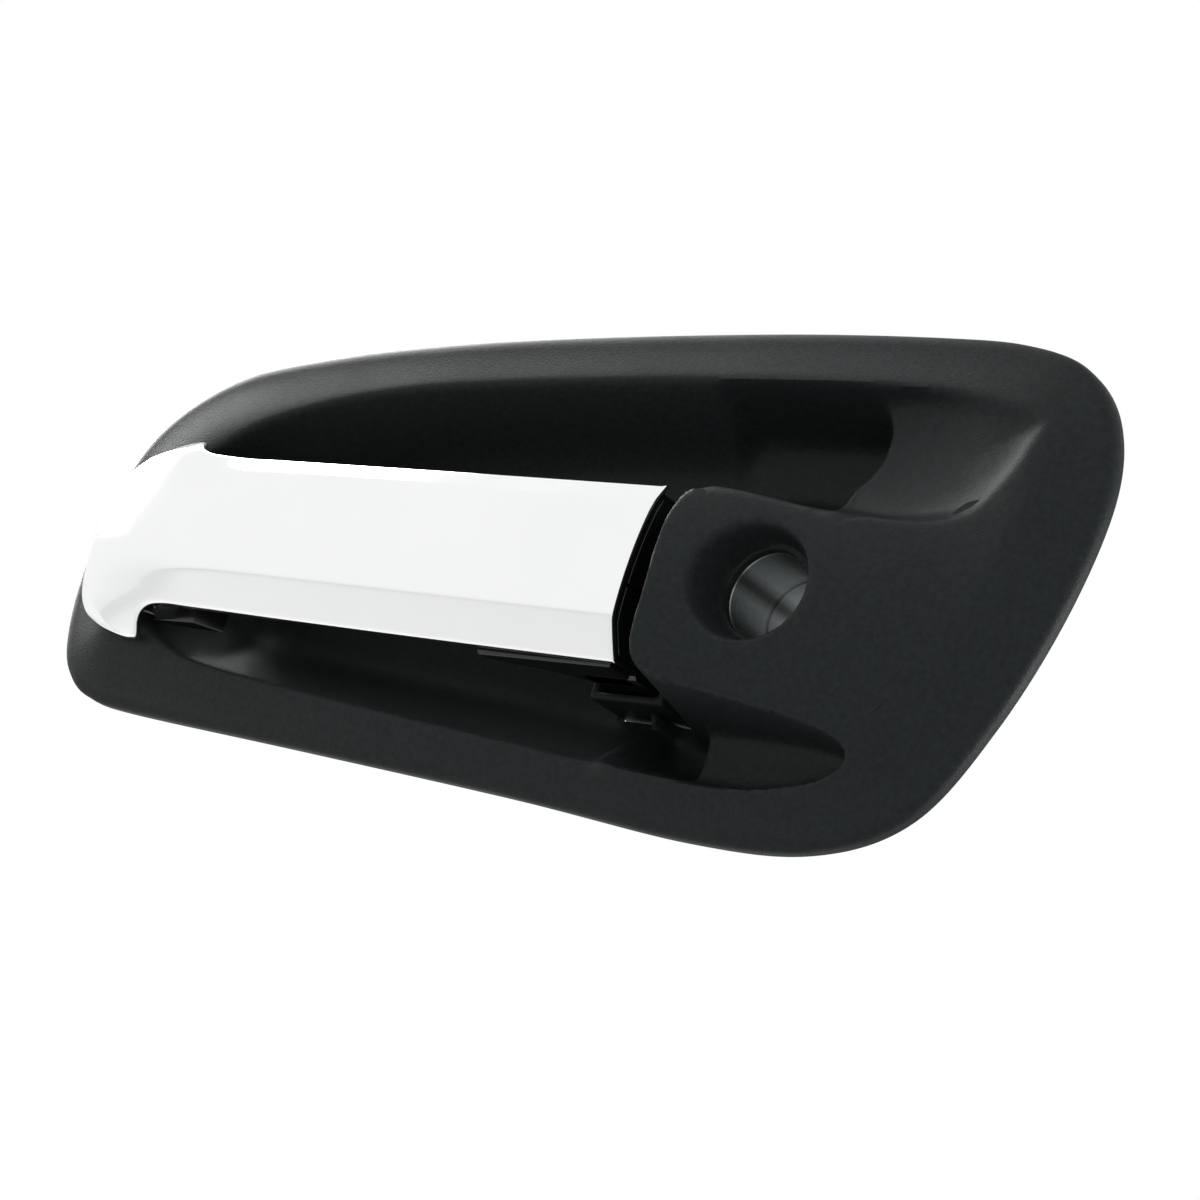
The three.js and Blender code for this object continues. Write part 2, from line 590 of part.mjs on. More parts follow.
// Core of the grip: fills the bar behind the cover, rounded on the finger side, thicker at the claw.
function makeBase() {
  const place = (x, v) => [x, mix(mix(BAR_LOW, -17.9, (GRIP_END_X - x) / 140) + BASE_INSET,
    mix(BAR_HIGH, 23.4, (GRIP_END_X - x) / 140) - BASE_INSET, v)];
  const backY = (x, z, y) => Math.max(y + 3, BASE_BACK - 5.5 * (Math.abs(z - 1) / 19) ** 3);
  const xs = spread(BASE_START_X, [[-150, 4], [BASE_END_X, 8]]);
  const vs = spread(0, [[1, 10]]);
  let solid = patchShell(place, xs, vs, (x, z) => coverSurface(x, z) + COVER_WALL + 0.7, backY);
  const [hx, hy] = HINGE;
  const arm = plateXY([[-168, -17], [-186, -13.2], [-199, -7.6], [hx - 3, hy - 4.5], [hx, hy + 5.5],
    [hx + 7, hy + 2], [-191, -1], [-181, -6.5], [-168, -8.2]], HINGE_EYE[0] + 1, HINGE_EYE[1] - 1);
  solid = solid.add(arm);
  solid = solid.add(bar(HINGE_EYE_R, HINGE_EYE[0], HINGE_EYE[1], 'Z', HINGE, 28));
  solid = solid.subtract(bar(BUSH_R + 0.1, HINGE_EYE[0] - 1, HINGE_EYE[1] + 1, 'Z', HINGE, 28));
  const gusset = plateXY([[-72, -14.4], [-72, -11], [-56, -6.5], [ARM.left - 2.5, -2.4], [ARM.left + 1, -0.6],
    [BASE_END_X, -0.6], [BASE_END_X, -14.4]], ARM.low, -6);
  solid = solid.add(gusset);
  const rib = plateXY([[-185, -8.9], [-170, -9.8], [-167, -4.2], [-180, -5.2], [-185, -8]], ROOT_RIB[0], ROOT_RIB[1]);
  solid = solid.add(rib);
  solid = solid.subtract(box([ARM.left - 0.4, CLAW_SEAT, ARM.low - 1], [BASE_END_X + 1, 1, ARM.high + 0.4]));
  for (const [x, z] of COVER_SCREWS) {
    solid = solid.subtract(bar(3.6, -30, COVER_BOSS_BACK + 0.4, 'Y', [x, 0, z], 16));
    solid = solid.subtract(bar(1.9, -30, 0, 'Y', [x, 0, z], 16));
    solid = solid.subtract(bar(3.6, -9.9, 0, 'Y', [x, 0, z], 16));
  }
  return solid;
}

add('grip_base', makeBase(), 'gloss_black');

// End plate that closes the bar towards the lock boss.
function makeEndCap() {
  const face = [];
  const low = BAR_LOW + 0.6;
  const high = BAR_HIGH - 1.4;
  for (let i = 0; i <= 14; i += 1) {
    const z = mix(low, high, i / 14);
    face.push([coverSurface(GRIP_END_X, z) + COVER_WALL + 0.5, z]);
  }
  const back = [[-8.6, high], [CLAW_SEAT - 0.4, high - 5], [CLAW_SEAT - 0.4, low + 3], [-9, low]];
  return plateYZ([...face, ...back], BASE_END_X + SKIN_GAP, GRIP_END_X - 0.5);
}

add('grip_end_cap', makeEndCap(), 'gloss_black');

// Claw: the arm through the pocket floor and the hooked tail that pulls the bellcrank's finger.
function makeClaw() {
  const arm = plateYZ([[CLAW_SEAT + 0.3, ARM.low + 0.8], [CLAW_SEAT + 1.1, ARM.low], [ARM_BACK - 1, ARM.low],
    [ARM_BACK, ARM.low + 1], [ARM_BACK, ARM.high], [CLAW_SEAT + 0.3, ARM.high]], ARM.left, ARM.right);
  const fingerY = CRANK[1] + CRANK_REACH * Math.sin(CRANK_REST);
  const [slotFront, slotBack] = [fingerY - FINGER_R - SLOT_PLAY, fingerY + FINGER_R + SLOT_PLAY];
  const slotFloor = CRANK[2] - CRANK_REACH - FINGER_R - SLOT_PLAY;
  const tail = plateYZ([[ARM_BACK - 1, TAIL.low], [TAIL.back - 2, TAIL.low],
    [TAIL.back, TAIL.low + 2], [TAIL.back, TAIL.high - 1.5], [TAIL.back - 1.5, TAIL.high], [slotBack, TAIL.high],
    [slotBack, slotFloor], [slotFront, slotFloor], [slotFront, TAIL.high], [ARM_BACK - 1, TAIL.high]],
  TAIL.left, TAIL.right);
  return arm.add(tail);
}

add('grip_claw', makeClaw(), 'gloss_black');

for (const [i, [x, z]] of COVER_SCREWS.entries()) {
  add(`cover_screw_${i + 1}`, makeScrew(x, z, -17.6, -9.5, 1.4, 3.2, 1.7), 'zinc_steel');
}

// ---------------------------------------------------------------- hinge of the grip
for (const [name, inner, outer] of [['lower', -5, HINGE_EYE[0]], ['upper', -4, HINGE_EYE[1]]]) {
  const way = Math.sign(outer - inner);
  const profile = [[HINGE_PIN_R + 0.15, inner], [BUSH_R - 0.1, inner], [BUSH_R - 0.1, outer + way * 0.3],
    [HINGE_EYE_R - 0.6, outer + way * 0.3], [HINGE_EYE_R - 0.6, outer + way * 1.1],
    [HINGE_PIN_R + 0.15, outer + way * 1.1]];
  profile.push(profile[0]);
  add(`hinge_bush_${name}`, turned(way > 0 ? profile : profile.reverse(), 'Z', HINGE, 28), 'nylon');
}
const PIN_LOW = HINGE_EARS[0][0] - 3;
const PIN_HIGH = HINGE_EARS[1][1] + 1.8;
add('hinge_pin', turned([[0, PIN_LOW], [HINGE_PIN_R - 0.5, PIN_LOW], [HINGE_PIN_R, PIN_LOW + 0.5],
  [HINGE_PIN_R, PIN_LOW + 1], [HINGE_PIN_R - 0.7, PIN_LOW + 1], [HINGE_PIN_R - 0.7, PIN_LOW + 2.2],
  [HINGE_PIN_R, PIN_LOW + 2.2], [HINGE_PIN_R, HINGE_EARS[1][1] + SKIN_GAP], [5, HINGE_EARS[1][1] + SKIN_GAP],
  [5, PIN_HIGH - 0.4], [4.6, PIN_HIGH], [0, PIN_HIGH]], 'Z', HINGE, 24), 'zinc_steel');
add('hinge_pin_clip', makeClip([HINGE[0], HINGE[1], PIN_LOW + 1.2], 'Z', HINGE_PIN_R - 0.4), 'spring_steel');

// Torsion spring wire: a leg, the turns of the coil about an axis through the origin, and a second leg.
function torsionCoil(meanR, turns, length, startAngle, legs) {
  const points = [];
  const perTurn = 8;
  for (let i = 0; i <= turns * perTurn; i += 1) {
    const angle = startAngle + (2 * Math.PI * i) / perTurn;
    points.push([meanR * Math.cos(angle), meanR * Math.sin(angle), (length * i) / (turns * perTurn)]);
  }
  return [legs[0], ...points, legs[1]];
}

const GRIP_COIL_R = 4.7;
const gripCoilEnds = [[12, -GRIP_COIL_R, 0], [-13, -GRIP_COIL_R - 0.5, 6.4]];
const gripCoil = torsionCoil(GRIP_COIL_R, 4, 6.4, -Math.PI / 2, gripCoilEnds);
add('grip_spring', wire(gripCoil.map(([x, y, z]) => [x + HINGE[0], y + HINGE[1], z + HINGE_EYE[1] + 2.6]), 0.7, 6, 56),
  'spring_steel');

// ---------------------------------------------------------------- guide, gasket and lock barrel
function makeGuide() {
  const frame = (grow, cut) => {
    const [left, right] = [ARM.left - grow, ARM.right + grow];
    const [low, high] = [ARM.low - grow, ARM.high + grow];
    return [[left + cut, low], [right - cut, low], [right, low + cut], [right, high - cut],
      [right - cut, high], [left + cut, high], [left, high - cut], [left, low + cut]];
  };
  const tower = plateXZ(frame(GUIDE_WALL + 0.9, 1.4), GUIDE_FRONT, GUIDE_BACK);
  const foot = plateXZ(frame(GUIDE_WALL + 2, 2), GUIDE_BACK - 1.2, GUIDE_BACK);
  return tower.add(foot).subtract(plateXZ(frame(0.9, 0.3), -20, 40));
}

add('grip_guide', makeGuide(), 'bezel_plastic');
add('bump_stop', turned([[0, ARM_BACK + 0.4], [2.6, ARM_BACK + 0.4], [3.5, 18.5], [3.5, PLATE_FRONT - SKIN_GAP],
  [0, PLATE_FRONT - SKIN_GAP]], 'Y', [-34.6, 0, -15], 20), 'rubber');

// Loop set in from the outline by a distance.
function insetLoop(distance) {
  return outline.filter((_, i) => i % 2 === 0).map(([x, z], i, loop) => {
    const [ax, az] = loop[(i + loop.length - 1) % loop.length];
    const [bx, bz] = loop[(i + 1) % loop.length];
    const length = Math.hypot(bx - ax, bz - az);
    return [x - (distance * (bz - az)) / length, z + (distance * (bx - ax)) / length];
  });
}

function makeGasket() {
  let solid = plateXZ(insetLoop(4.4), -1.5, 0).subtract(plateXZ(insetLoop(8.6), -3, 3));
  for (const [x, z] of STUDS) {
    solid = solid.subtract(bar(STUD_BOSS_R + 0.5, -4, 4, 'Y', [x, 0, z]));
  }
  return solid;
}

add('door_gasket', makeGasket(), 'foam');

const CLIP_SEAT = PLATE_BACK + SKIN_GAP;
const CLIP_THICKNESS = 1.4;
const sleeveProfile = [[BORE_R, SLEEVE_FRONT], [SLEEVE_R, SLEEVE_FRONT], [SLEEVE_R, CLIP_SEAT - 0.2],
  [SLEEVE_GROOVE_R, CLIP_SEAT - 0.2], [SLEEVE_GROOVE_R, CLIP_SEAT + CLIP_THICKNESS + 0.3],
  [SLEEVE_R, CLIP_SEAT + CLIP_THICKNESS + 0.3], [SLEEVE_R, SLEEVE_BACK], [BORE_R, SLEEVE_BACK]];
sleeveProfile.push(sleeveProfile[0]);
add('lock_sleeve', turned(sleeveProfile, 'Y', [0, 0, 0], 36), 'barrel_metal');

function makeSleeveClip() {
  const inner = [];
  const mouth = SLEEVE_GROOVE_R + 0.25;
  for (let i = 0; i <= 12; i += 1) {
    const angle = (Math.PI * i) / 12;
    inner.push([mouth * Math.cos(angle), mouth * Math.sin(angle)]);
  }
  const shape = [[mouth, -15], ...inner, [-mouth, -15], [-16, -15], [-16.4, 10], [-10, 17], [-4, 17], [-4, 20.5],
    [4, 20.5], [4, 17], [10, 17], [16.4, 10], [16, -15]];
  return plateXZ(shape, CLIP_SEAT, CLIP_SEAT + CLIP_THICKNESS);
}

add('sleeve_clip', makeSleeveClip(), 'spring_steel');

// ---------------------------------------------------------------- chassis and its fasteners
function makeChassis() {
  const plate = [[-217, -19], [-196, -19], [-186, -24], [12, -24], [17, -19], [17, 17], [12, 22], [-186, 22],
    [-196, 19], [-217, 19]];
  let solid = plateXZ(plate, PLATE_FRONT, PLATE_BACK);
  const ear = [[-217, PLATE_BACK], [-217, 5], [-213, 0.6], [-203, 0.6], [-198.5, 5], [-195, PLATE_BACK]];
  for (const [low, high] of HINGE_EARS) {
    solid = solid.add(plateXY(ear, low, high));
  }
  solid = solid.subtract(bar(HINGE_PIN_R + 0.2, -30, 30, 'Z', HINGE, 24));
  const [cy, cz] = [CRANK[1], CRANK[2]];
  const crankEar = [[PLATE_FRONT + 1, cz - 8], [cy + 3, cz - 6], [cy + 6.5, cz - 2.5], [cy + 6.5, cz + 2.5],
    [cy + 3, cz + 6], [PLATE_FRONT + 1, cz + 8]];
  for (const [low, high] of CRANK_EARS) {
    solid = solid.add(plateYZ(crankEar, low, high));
  }
  solid = solid.subtract(bar(CRANK_PIN_R + 0.2, -20, 20, 'X', CRANK, 24));
  solid = solid.add(box([-172, PLATE_FRONT + 1, 19.6], [-66, PLATE_BACK + 4.5, 22]));
  solid = solid.add(box([-172, PLATE_FRONT + 1, -24], [-66, PLATE_BACK + 4.5, -21.6]));
  solid = solid.subtract(bar(SLEEVE_R + 0.4, 0, 40, 'Y', [0, 0, 0], 36));
  solid = solid.subtract(box([-59.3, 20, -30], [-37.5, 40, -6]));
  solid = solid.subtract(box([-59.3, 20, -30], [-50.4, 40, 4]));
  for (const [x, z] of SCREWS) {
    solid = solid.subtract(bar(SCREW_R + 0.4, 20, 40, 'Y', [x, 0, z], 18));
  }
  for (const x of [-170, -128, -104]) {
    solid = solid.subtract(bar(8.5, 20, 40, 'Y', [x, 0, -1], 24));
  }
  return solid;
}

add('chassis', makeChassis(), 'zinc_steel');

for (const [i, [x, z]] of SCREWS.entries()) {
  const tip = bezelSurface(x, z, 0) + 3.6;
  add(`chassis_screw_${i + 1}`, makeScrew(x, z, tip, PLATE_BACK + SKIN_GAP, SCREW_R, 4.2, 2.8), 'zinc_steel');
}

const NUT_SEAT = SKIN_THICKNESS + SKIN_GAP;
for (const [i, [x, z]] of STUDS.entries()) {
  add(`mount_stud_${i + 1}`, turned([[0, STUD_FRONT], [STUD_R, STUD_FRONT], [STUD_R, STUD_BACK - 1],
    [STUD_R - 1, STUD_BACK], [0, STUD_BACK]], 'Y', [x, 0, z], 20), 'zinc_steel');
  const washer = bar(7, NUT_SEAT, NUT_SEAT + 1.3, 'Y', [x, 0, z], 28);
  const hexagon = bar(5.6, NUT_SEAT + 1, NUT_SEAT + 6, 'Y', [x, 0, z], 6);
  const bore = bar(STUD_R + 0.3, 0, 20, 'Y', [x, 0, z], 20);
  add(`flange_nut_${i + 1}`, washer.add(hexagon).subtract(bore), 'zinc_steel');
}

// ---------------------------------------------------------------- bellcrank
const fingerAt = [CRANK[1] + CRANK_REACH * Math.sin(CRANK_REST), CRANK[2] - CRANK_REACH * Math.cos(CRANK_REST)];
const rodEyeAt = [CRANK[1] + 18, CRANK[2] + 4];
const weightAt = [CRANK[1] + 3, CRANK[2] + 15];

// Flat arm between two rounds, in the bellcrank's plane.
function crankArm([ay, az], [by, bz], radiusA, radiusB) {
  const length = Math.hypot(by - ay, bz - az);
  const [ny, nz] = [-(bz - az) / length, (by - ay) / length];
  const web = plateYZ([[ay + ny * radiusA, az + nz * radiusA], [ay - ny * radiusA, az - nz * radiusA],
    [by - ny * radiusB, bz - nz * radiusB], [by + ny * radiusB, bz + nz * radiusB]], ...CRANK_PLATE);
  return web.add(bar(radiusB, ...CRANK_PLATE, 'X', [0, by, bz], 20));
}

function makeBellcrank() {
  const centre = [CRANK[1], CRANK[2]];
  let solid = bar(CRANK_HUB_R, CRANK_EARS[0][1] + 0.4, CRANK_EARS[1][0] - 0.4, 'X', [0, ...centre], 28);
  solid = solid.add(crankArm(centre, fingerAt, 4.6, 4));
  solid = solid.add(crankArm(centre, rodEyeAt, 4.4, 3.8));
  solid = solid.add(crankArm(centre, weightAt, 4.4, 4.4));
  solid = solid.add(bar(FINGER_R, CRANK_PLATE[1] - 1, TAIL.right + 0.8, 'X', [0, ...fingerAt], 20));
  solid = solid.subtract(bar(CRANK_PIN_R + 0.2, -70, -40, 'X', [0, ...centre], 24));
  return solid.subtract(bar(2.1, -70, -40, 'X', [0, ...rodEyeAt], 18));
}

add('bellcrank', makeBellcrank(), 'cast_zinc');
add('counterweight', plateYZ([[-5, -6], [5, -6], [7, -3], [7, 4], [4, 7], [-5, 7], [-7, 4], [-7, -3]]
  .map(([y, z]) => [y + weightAt[0], z + weightAt[1] + 0.4]), CRANK_EARS[0][1] + 0.6, CRANK_PLATE[0] - SKIN_GAP),
'cast_zinc');

const CRANK_PIN_LEFT = CRANK_EARS[0][0] - 3;
const CRANK_PIN_RIGHT = CRANK_EARS[1][1] + 1.6;
add('bellcrank_pin', turned([[0, CRANK_PIN_LEFT], [CRANK_PIN_R, CRANK_PIN_LEFT], [CRANK_PIN_R, CRANK_PIN_LEFT + 0.9],
  [CRANK_PIN_R - 0.7, CRANK_PIN_LEFT + 0.9], [CRANK_PIN_R - 0.7, CRANK_PIN_LEFT + 2.1],
  [CRANK_PIN_R, CRANK_PIN_LEFT + 2.1], [CRANK_PIN_R, CRANK_EARS[1][1] + SKIN_GAP],
  [4.2, CRANK_EARS[1][1] + SKIN_GAP], [4.2, CRANK_PIN_RIGHT], [0, CRANK_PIN_RIGHT]],
'X', [0, CRANK[1], CRANK[2]], 24), 'zinc_steel');
add('bellcrank_pin_clip', makeClip([CRANK_PIN_LEFT + 1.1, CRANK[1], CRANK[2]], 'X', CRANK_PIN_R - 0.4),
  'spring_steel');

const crankCoil = torsionCoil(6.1, 2, 2.6, -Math.PI / 2, [[-6.4, -7, 0], [5, -9, 2.6]]);
add('bellcrank_spring', wire(crankCoil.map(([y, z, x]) => [x + CRANK_EARS[0][1] + 1.2, y + CRANK[1], z + CRANK[2]]),
  0.6, 6, 32), 'spring_steel');

function makeRodClip() {
  const [y, z] = rodEyeAt;
  const pivot = bar(1.8, CRANK_PLATE[0] - 1.4, CRANK_PLATE[1] + 2, 'X', [0, y, z], 18);
  const barb = bar(2.9, CRANK_PLATE[0] - 1.8, CRANK_PLATE[0] - SKIN_GAP, 'X', [0, y, z], 18);
  const block = box([CRANK_PLATE[1] + SKIN_GAP, y - 3.6, z - 8], [CRANK_PLATE[1] + 5.6, y + 3.6, z + 3.6]);
  const rodHole = bar(1.25, z - 20, z + 20, 'Z', [CRANK_PLATE[1] + 3, y, 0], 14);
  return pivot.add(barb).add(block).subtract(rodHole);
}

add('rod_clip', makeRodClip(), 'nylon');

export default group;
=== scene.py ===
import json
import math

import bpy
import numpy as np
from mathutils import Matrix, Vector


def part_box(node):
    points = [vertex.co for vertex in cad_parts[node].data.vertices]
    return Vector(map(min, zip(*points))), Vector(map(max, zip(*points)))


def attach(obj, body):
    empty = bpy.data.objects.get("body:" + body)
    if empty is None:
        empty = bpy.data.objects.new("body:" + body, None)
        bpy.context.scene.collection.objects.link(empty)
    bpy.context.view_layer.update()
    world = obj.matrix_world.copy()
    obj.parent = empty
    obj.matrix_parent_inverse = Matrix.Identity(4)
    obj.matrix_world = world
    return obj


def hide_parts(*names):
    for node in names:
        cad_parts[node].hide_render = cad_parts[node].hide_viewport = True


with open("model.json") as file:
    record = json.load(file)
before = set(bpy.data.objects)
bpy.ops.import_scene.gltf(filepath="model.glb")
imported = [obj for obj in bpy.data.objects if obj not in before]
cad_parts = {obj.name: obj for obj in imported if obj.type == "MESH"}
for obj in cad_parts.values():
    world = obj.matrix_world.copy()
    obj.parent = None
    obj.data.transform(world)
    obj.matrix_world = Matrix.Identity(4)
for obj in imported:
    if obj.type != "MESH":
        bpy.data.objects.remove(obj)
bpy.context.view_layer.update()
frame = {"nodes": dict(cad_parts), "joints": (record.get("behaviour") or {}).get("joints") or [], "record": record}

bl_info = {
    "name": "Pull Door Handle",
    "version": (1, 0, 0),
    "blender": (4, 5, 0),
    "location": "3D View > Sidebar > Door Handle",
    "description": "Builds the fine surfaces, finishes and studio of a pull-type outside door handle",
    "category": "Object",
}

MM = 0.001  # shapes are worked out in millimetres and stored in metres
ROOT, GRIP = "mounting", "grip"

# ------------ outlines, in millimetres
CORNER_LEFT, CORNER_RIGHT = -206, 46
OUTLINE_BOTTOM = [(CORNER_LEFT, -40.4), (-190, -43), (-130, -46.9), (-60, -51.7), (-8, -56.2), (24, -55),
                  (CORNER_RIGHT, -45)]
OUTLINE_RIGHT = [(CORNER_RIGHT, -45), (60, -23), (70, 4), (74.5, 30), (71, 48), (61, 59.5),
                 (CORNER_RIGHT, 64.5)]
OUTLINE_TOP = [(CORNER_RIGHT, 64.5), (24, 66.2), (-20, 66.5), (-80, 64.5), (-130, 61), (-170, 55.5),
               (-190, 50), (CORNER_LEFT, 40)]
OUTLINE_LEFT = [(CORNER_LEFT, 40), (-216, 27), (-221.5, 8), (-222.5, -12), (-219.5, -28), (-214, -36),
                (CORNER_LEFT, -40.4)]
BOSS_END_X = -23
POCKET_KNOTS = [(55.5, 45.5), (44.5, 49.3), (18, 52.5), (-36, 52.8), (-96, 50.4), (-128, 47.6), (-155, 42.2),
                (-176, 34), (-191, 20), (-195, 2), (-191, -16), (-177, -26.5), (-154, -30.8), (-95, -36.8),
                (-33, -42.4), (0, -44.3), (20, -41.5), (28.3, -37.5), (30, -33.8), (26, -30.6), (14, -28),
                (-3, -26), (-18, -24), (BOSS_END_X, -19), (BOSS_END_X, -5), (BOSS_END_X, 14), (-17, 21.4),
                (8, 19.4), (31, 19.2), (43.5, 22.3), (50.2, 30.4), (54.2, 38.5)]
COVER_NOSE_X, GRIP_END_X = -204, -30
COVER_TOP = [(GRIP_END_X, 21.9), (-80, 22.6), (-125, 23.1), (-155, 23.4), (-172, 23.6), (-178, 24.8),
             (-181.5, 27.2), (-184.5, 29), (-188.5, 29.2), (-195, 27.7), (COVER_NOSE_X, 24.4)]
COVER_LEFT = [(COVER_NOSE_X, 24.4), (-211.5, 19), (-216, 11), (-217.6, 0), (-216.2, -11.5), (-211.6, -18.4),
              (COVER_NOSE_X, -22.4)]
COVER_BOTTOM = [(COVER_NOSE_X, -22.4), (-195.5, -24.8), (-189.2, -25.5), (-187.2, -24.4), (-186.5, -21.6),
                (-185, -19.3), (-181.4, -17.8), (-175, -17.4), (-163, -17.9), (-140, -18.7), (-105, -19.7),
                (-65, -20.7), (GRIP_END_X, -21.5)]
BULGE_REACH = 24  # how far in from its rounded ends the plan of a moulding is drawn out


# ------------ settings
class HandleBezelSettings(bpy.types.PropertyGroup):
    """Sizes of the moulded bezel, in millimetres."""

    wall: bpy.props.FloatProperty(name="Wall", description="Thickness of the moulded wall", default=2.4)
    pocket_depth: bpy.props.FloatProperty(
        name="Pocket Floor", description="How far behind the door skin the pocket's floor lies", default=18.0)
    recess_radius: bpy.props.FloatProperty(
        name="Recess Radius", description="Mouth of the lock recess in the boss face", default=13.8)
    bore_radius: bpy.props.FloatProperty(
        name="Bore Radius", description="Hole in the recess floor that shows the barrel", default=10.7)
    grain_size: bpy.props.FloatProperty(
        name="Grain Size", description="Size of one cell of the leather-like grain", default=0.9)
    colour: bpy.props.FloatVectorProperty(
        name="Colour", description="Colour of the bezel plastic", subtype="COLOR", size=3, min=0, max=1,
        default=(0.0095, 0.0120, 0.0122))


class HandleGripSettings(bpy.types.PropertyGroup):
    """Sizes and finish of the grip, in millimetres."""

    cover_wall: bpy.props.FloatProperty(
        name="Cover Wall", description="Thickness of the plated cover", default=1.6)
    edge_round: bpy.props.FloatProperty(
        name="Edge Round", description="Radius along the edges of the plated cover", default=0.9)
    chrome_colour: bpy.props.FloatVectorProperty(
        name="Chrome", description="Tint of the plating", subtype="COLOR", size=3, min=0, max=1,
        default=(0.90, 0.905, 0.91))
    black_colour: bpy.props.FloatVectorProperty(
        name="Gloss Black", description="Colour of the smooth black mouldings", subtype="COLOR", size=3,
        min=0, max=1, default=(0.004, 0.0045, 0.0048))


class HandleStageSettings(bpy.types.PropertyGroup):
    """Studio around the handle."""

    lens: bpy.props.FloatProperty(name="Lens", description="Focal length of the camera, mm", default=90.0)
    floor_drop: bpy.props.FloatProperty(
        name="Floor Drop", description="How far the floor lies below the lock axis", default=0.34,
        unit="LENGTH")
    world_light: bpy.props.FloatProperty(
        name="World Light", description="Strength of the soft light", default=1.0)


# ------------ small maths on whole arrays
def mix(a, b, t):
    """a + (b - a) t."""
    return a + (b - a) * t


def smooth(low, high, value):
    """Smoothstep: t = (value - low) / (high - low), held to 0..1, gives t^2 (3 - 2 t)."""
    t = np.clip((value - low) / (high - low), 0, 1)
    return t * t * (3 - 2 * t)


def soft_max(a, b, k):
    """Half of a + b + the root of (a - b)^2 + k^2: the larger of two values with a rounded corner."""
    return 0.5 * (a + b + np.hypot(a - b, k))


def soft_min(a, b, k):
    """Half of a + b - the root of (a - b)^2 + k^2: the smaller of two values with a rounded corner."""
    return 0.5 * (a + b - np.hypot(a - b, k))


def wall_drop(inside, drop, slope, lip, foot):
    """0 at the lip, then a fall at the slope that runs out into a floor at the given drop."""
    fall = soft_max(slope * inside, 0, lip)
    return soft_min(fall, drop, foot) - soft_min(0, drop, foot)


def spread(start, knots):
    """Values from one knot to the next; each knot is (value, steps up to it)."""
    values = [np.array([start], float)]
    for to, steps in knots:
        values.append(np.linspace(values[-1][-1], to, steps + 1)[1:])
    return np.concatenate(values)


def curve(points, closed, steps):
    """Catmull-Rom curve: each span is the cubic through its ends with slopes (next - previous) / 2."""
    p = np.array(points, float)
    if closed:
        a, b, c, d = np.roll(p, 1, 0), p, np.roll(p, -1, 0), np.roll(p, -2, 0)
    else:
        q = np.vstack([p[:1], p, p[-1:]])
        a, b, c, d = q[:-3], q[1:-2], q[2:-1], q[3:]
    t = np.arange(steps)[None, :, None] / steps
    a, b, c, d = (v[:, None, :] for v in (a, b, c, d))
    out = 0.5 * (2 * b + (c - a) * t + (2 * a - 5 * b + 4 * c - d) * t**2 + (3 * b - a - 3 * c + d) * t**3)
    out = out.reshape(-1, p.shape[1])
    return out if closed else np.vstack([out, p[-1:]])


def inside_distance(loop, x, z):
    """Signed distance from (x, z) to a closed loop, positive inside: the nearest of all its segments,
    with the sign from the number of segments that a ray along +X crosses."""
    shape = np.shape(x)
    points = np.stack([np.ravel(x), np.ravel(z)], 1)
    a, b = loop, np.roll(loop, -1, 0)
    run = b - a
    length = np.maximum((run**2).sum(1), 1e-12)
    result = []
    for part in np.array_split(points, max(1, len(points) // 6000)):
        rel = part[:, None, :] - a[None]
        t = np.clip((rel * run).sum(2) / length, 0, 1)
        near = np.sqrt(((rel - t[..., None] * run) ** 2).sum(2).min(1))
        px, pz = part[:, :1], part[:, 1:]
        rise = np.where(run[:, 1] == 0, 1e-12, run[:, 1])
        cross = ((a[:, 1] > pz) != (b[:, 1] > pz)) & (px < run[:, 0] * (pz - a[:, 1]) / rise + a[:, 0])
        result.append(np.where(cross.sum(1) % 2 == 1, near, -near))
    return np.concatenate(result).reshape(shape)


def along(line, share):
    """Points of a polyline at shares of its length."""
    line = np.asarray(line, float)
    steps = np.hypot(*np.diff(line, axis=0).T)
    at = np.concatenate([[0], np.cumsum(steps)])
    return np.stack([np.interp(share * at[-1], at, line[:, i]) for i in (0, 1)], -1)


def closed_sides(sides, steps):
    """The closed curve through four sides, and the same curve cut back into its sides."""
    loop = curve([point for side in sides for point in side[:-1]], True, steps)
    ring = np.vstack([loop, loop[:1]])
    stops = np.cumsum([0] + [(len(side) - 1) * steps for side in sides])
    bottom, right, top, left = (ring[i:j + 1] for i, j in zip(stops[:-1], stops[1:]))
    return loop, bottom, right, top[::-1], left[::-1]


def open_sides(sides, steps):
    """One open curve round three sides, cut back into bottom, right, top and left; right is straight."""
    path = curve([sides[0][0]] + [point for side in sides for point in side[1:]], False, steps)
    first = (len(sides[0]) - 1) * steps
    second = first + (len(sides[1]) - 1) * steps
    right = np.stack([path[-1], path[0]])
    return (path[second:], right, path[:first + 1][::-1], path[first:second + 1][::-1]), path[::-1]


def bulged_grid(sides, xs, heights):
    """Plan grid with columns at constant x. heights places the rows between the bottom and top sides, and
    the pull of the left and right sides dies out as a square over BULGE_REACH."""
    bottom, right, top, left = sides
    low = np.interp(xs, bottom[:, 0], bottom[:, 1])[None]
    high = np.interp(xs, top[:, 0], top[:, 1])[None]
    z = heights(low, high)
    x = np.broadcast_to(xs[None], z.shape)
    from_left = np.clip(1 - (xs - xs[0]) / BULGE_REACH, 0, 1)[None] ** 2
    from_right = np.clip(1 - (xs[-1] - xs) / BULGE_REACH, 0, 1)[None] ** 2
    plan = np.stack([x, z], -1)
    for side, column, pull in ((left, 0, from_left), (right, -1, from_right)):
        share = (z[:, column] - low[0, column]) / (high[0, column] - low[0, column])
        shift = along(side, share) - plan[:, column]
        plan = plan + pull[..., None] * shift[:, None]
    return plan[..., 0], plan[..., 1]


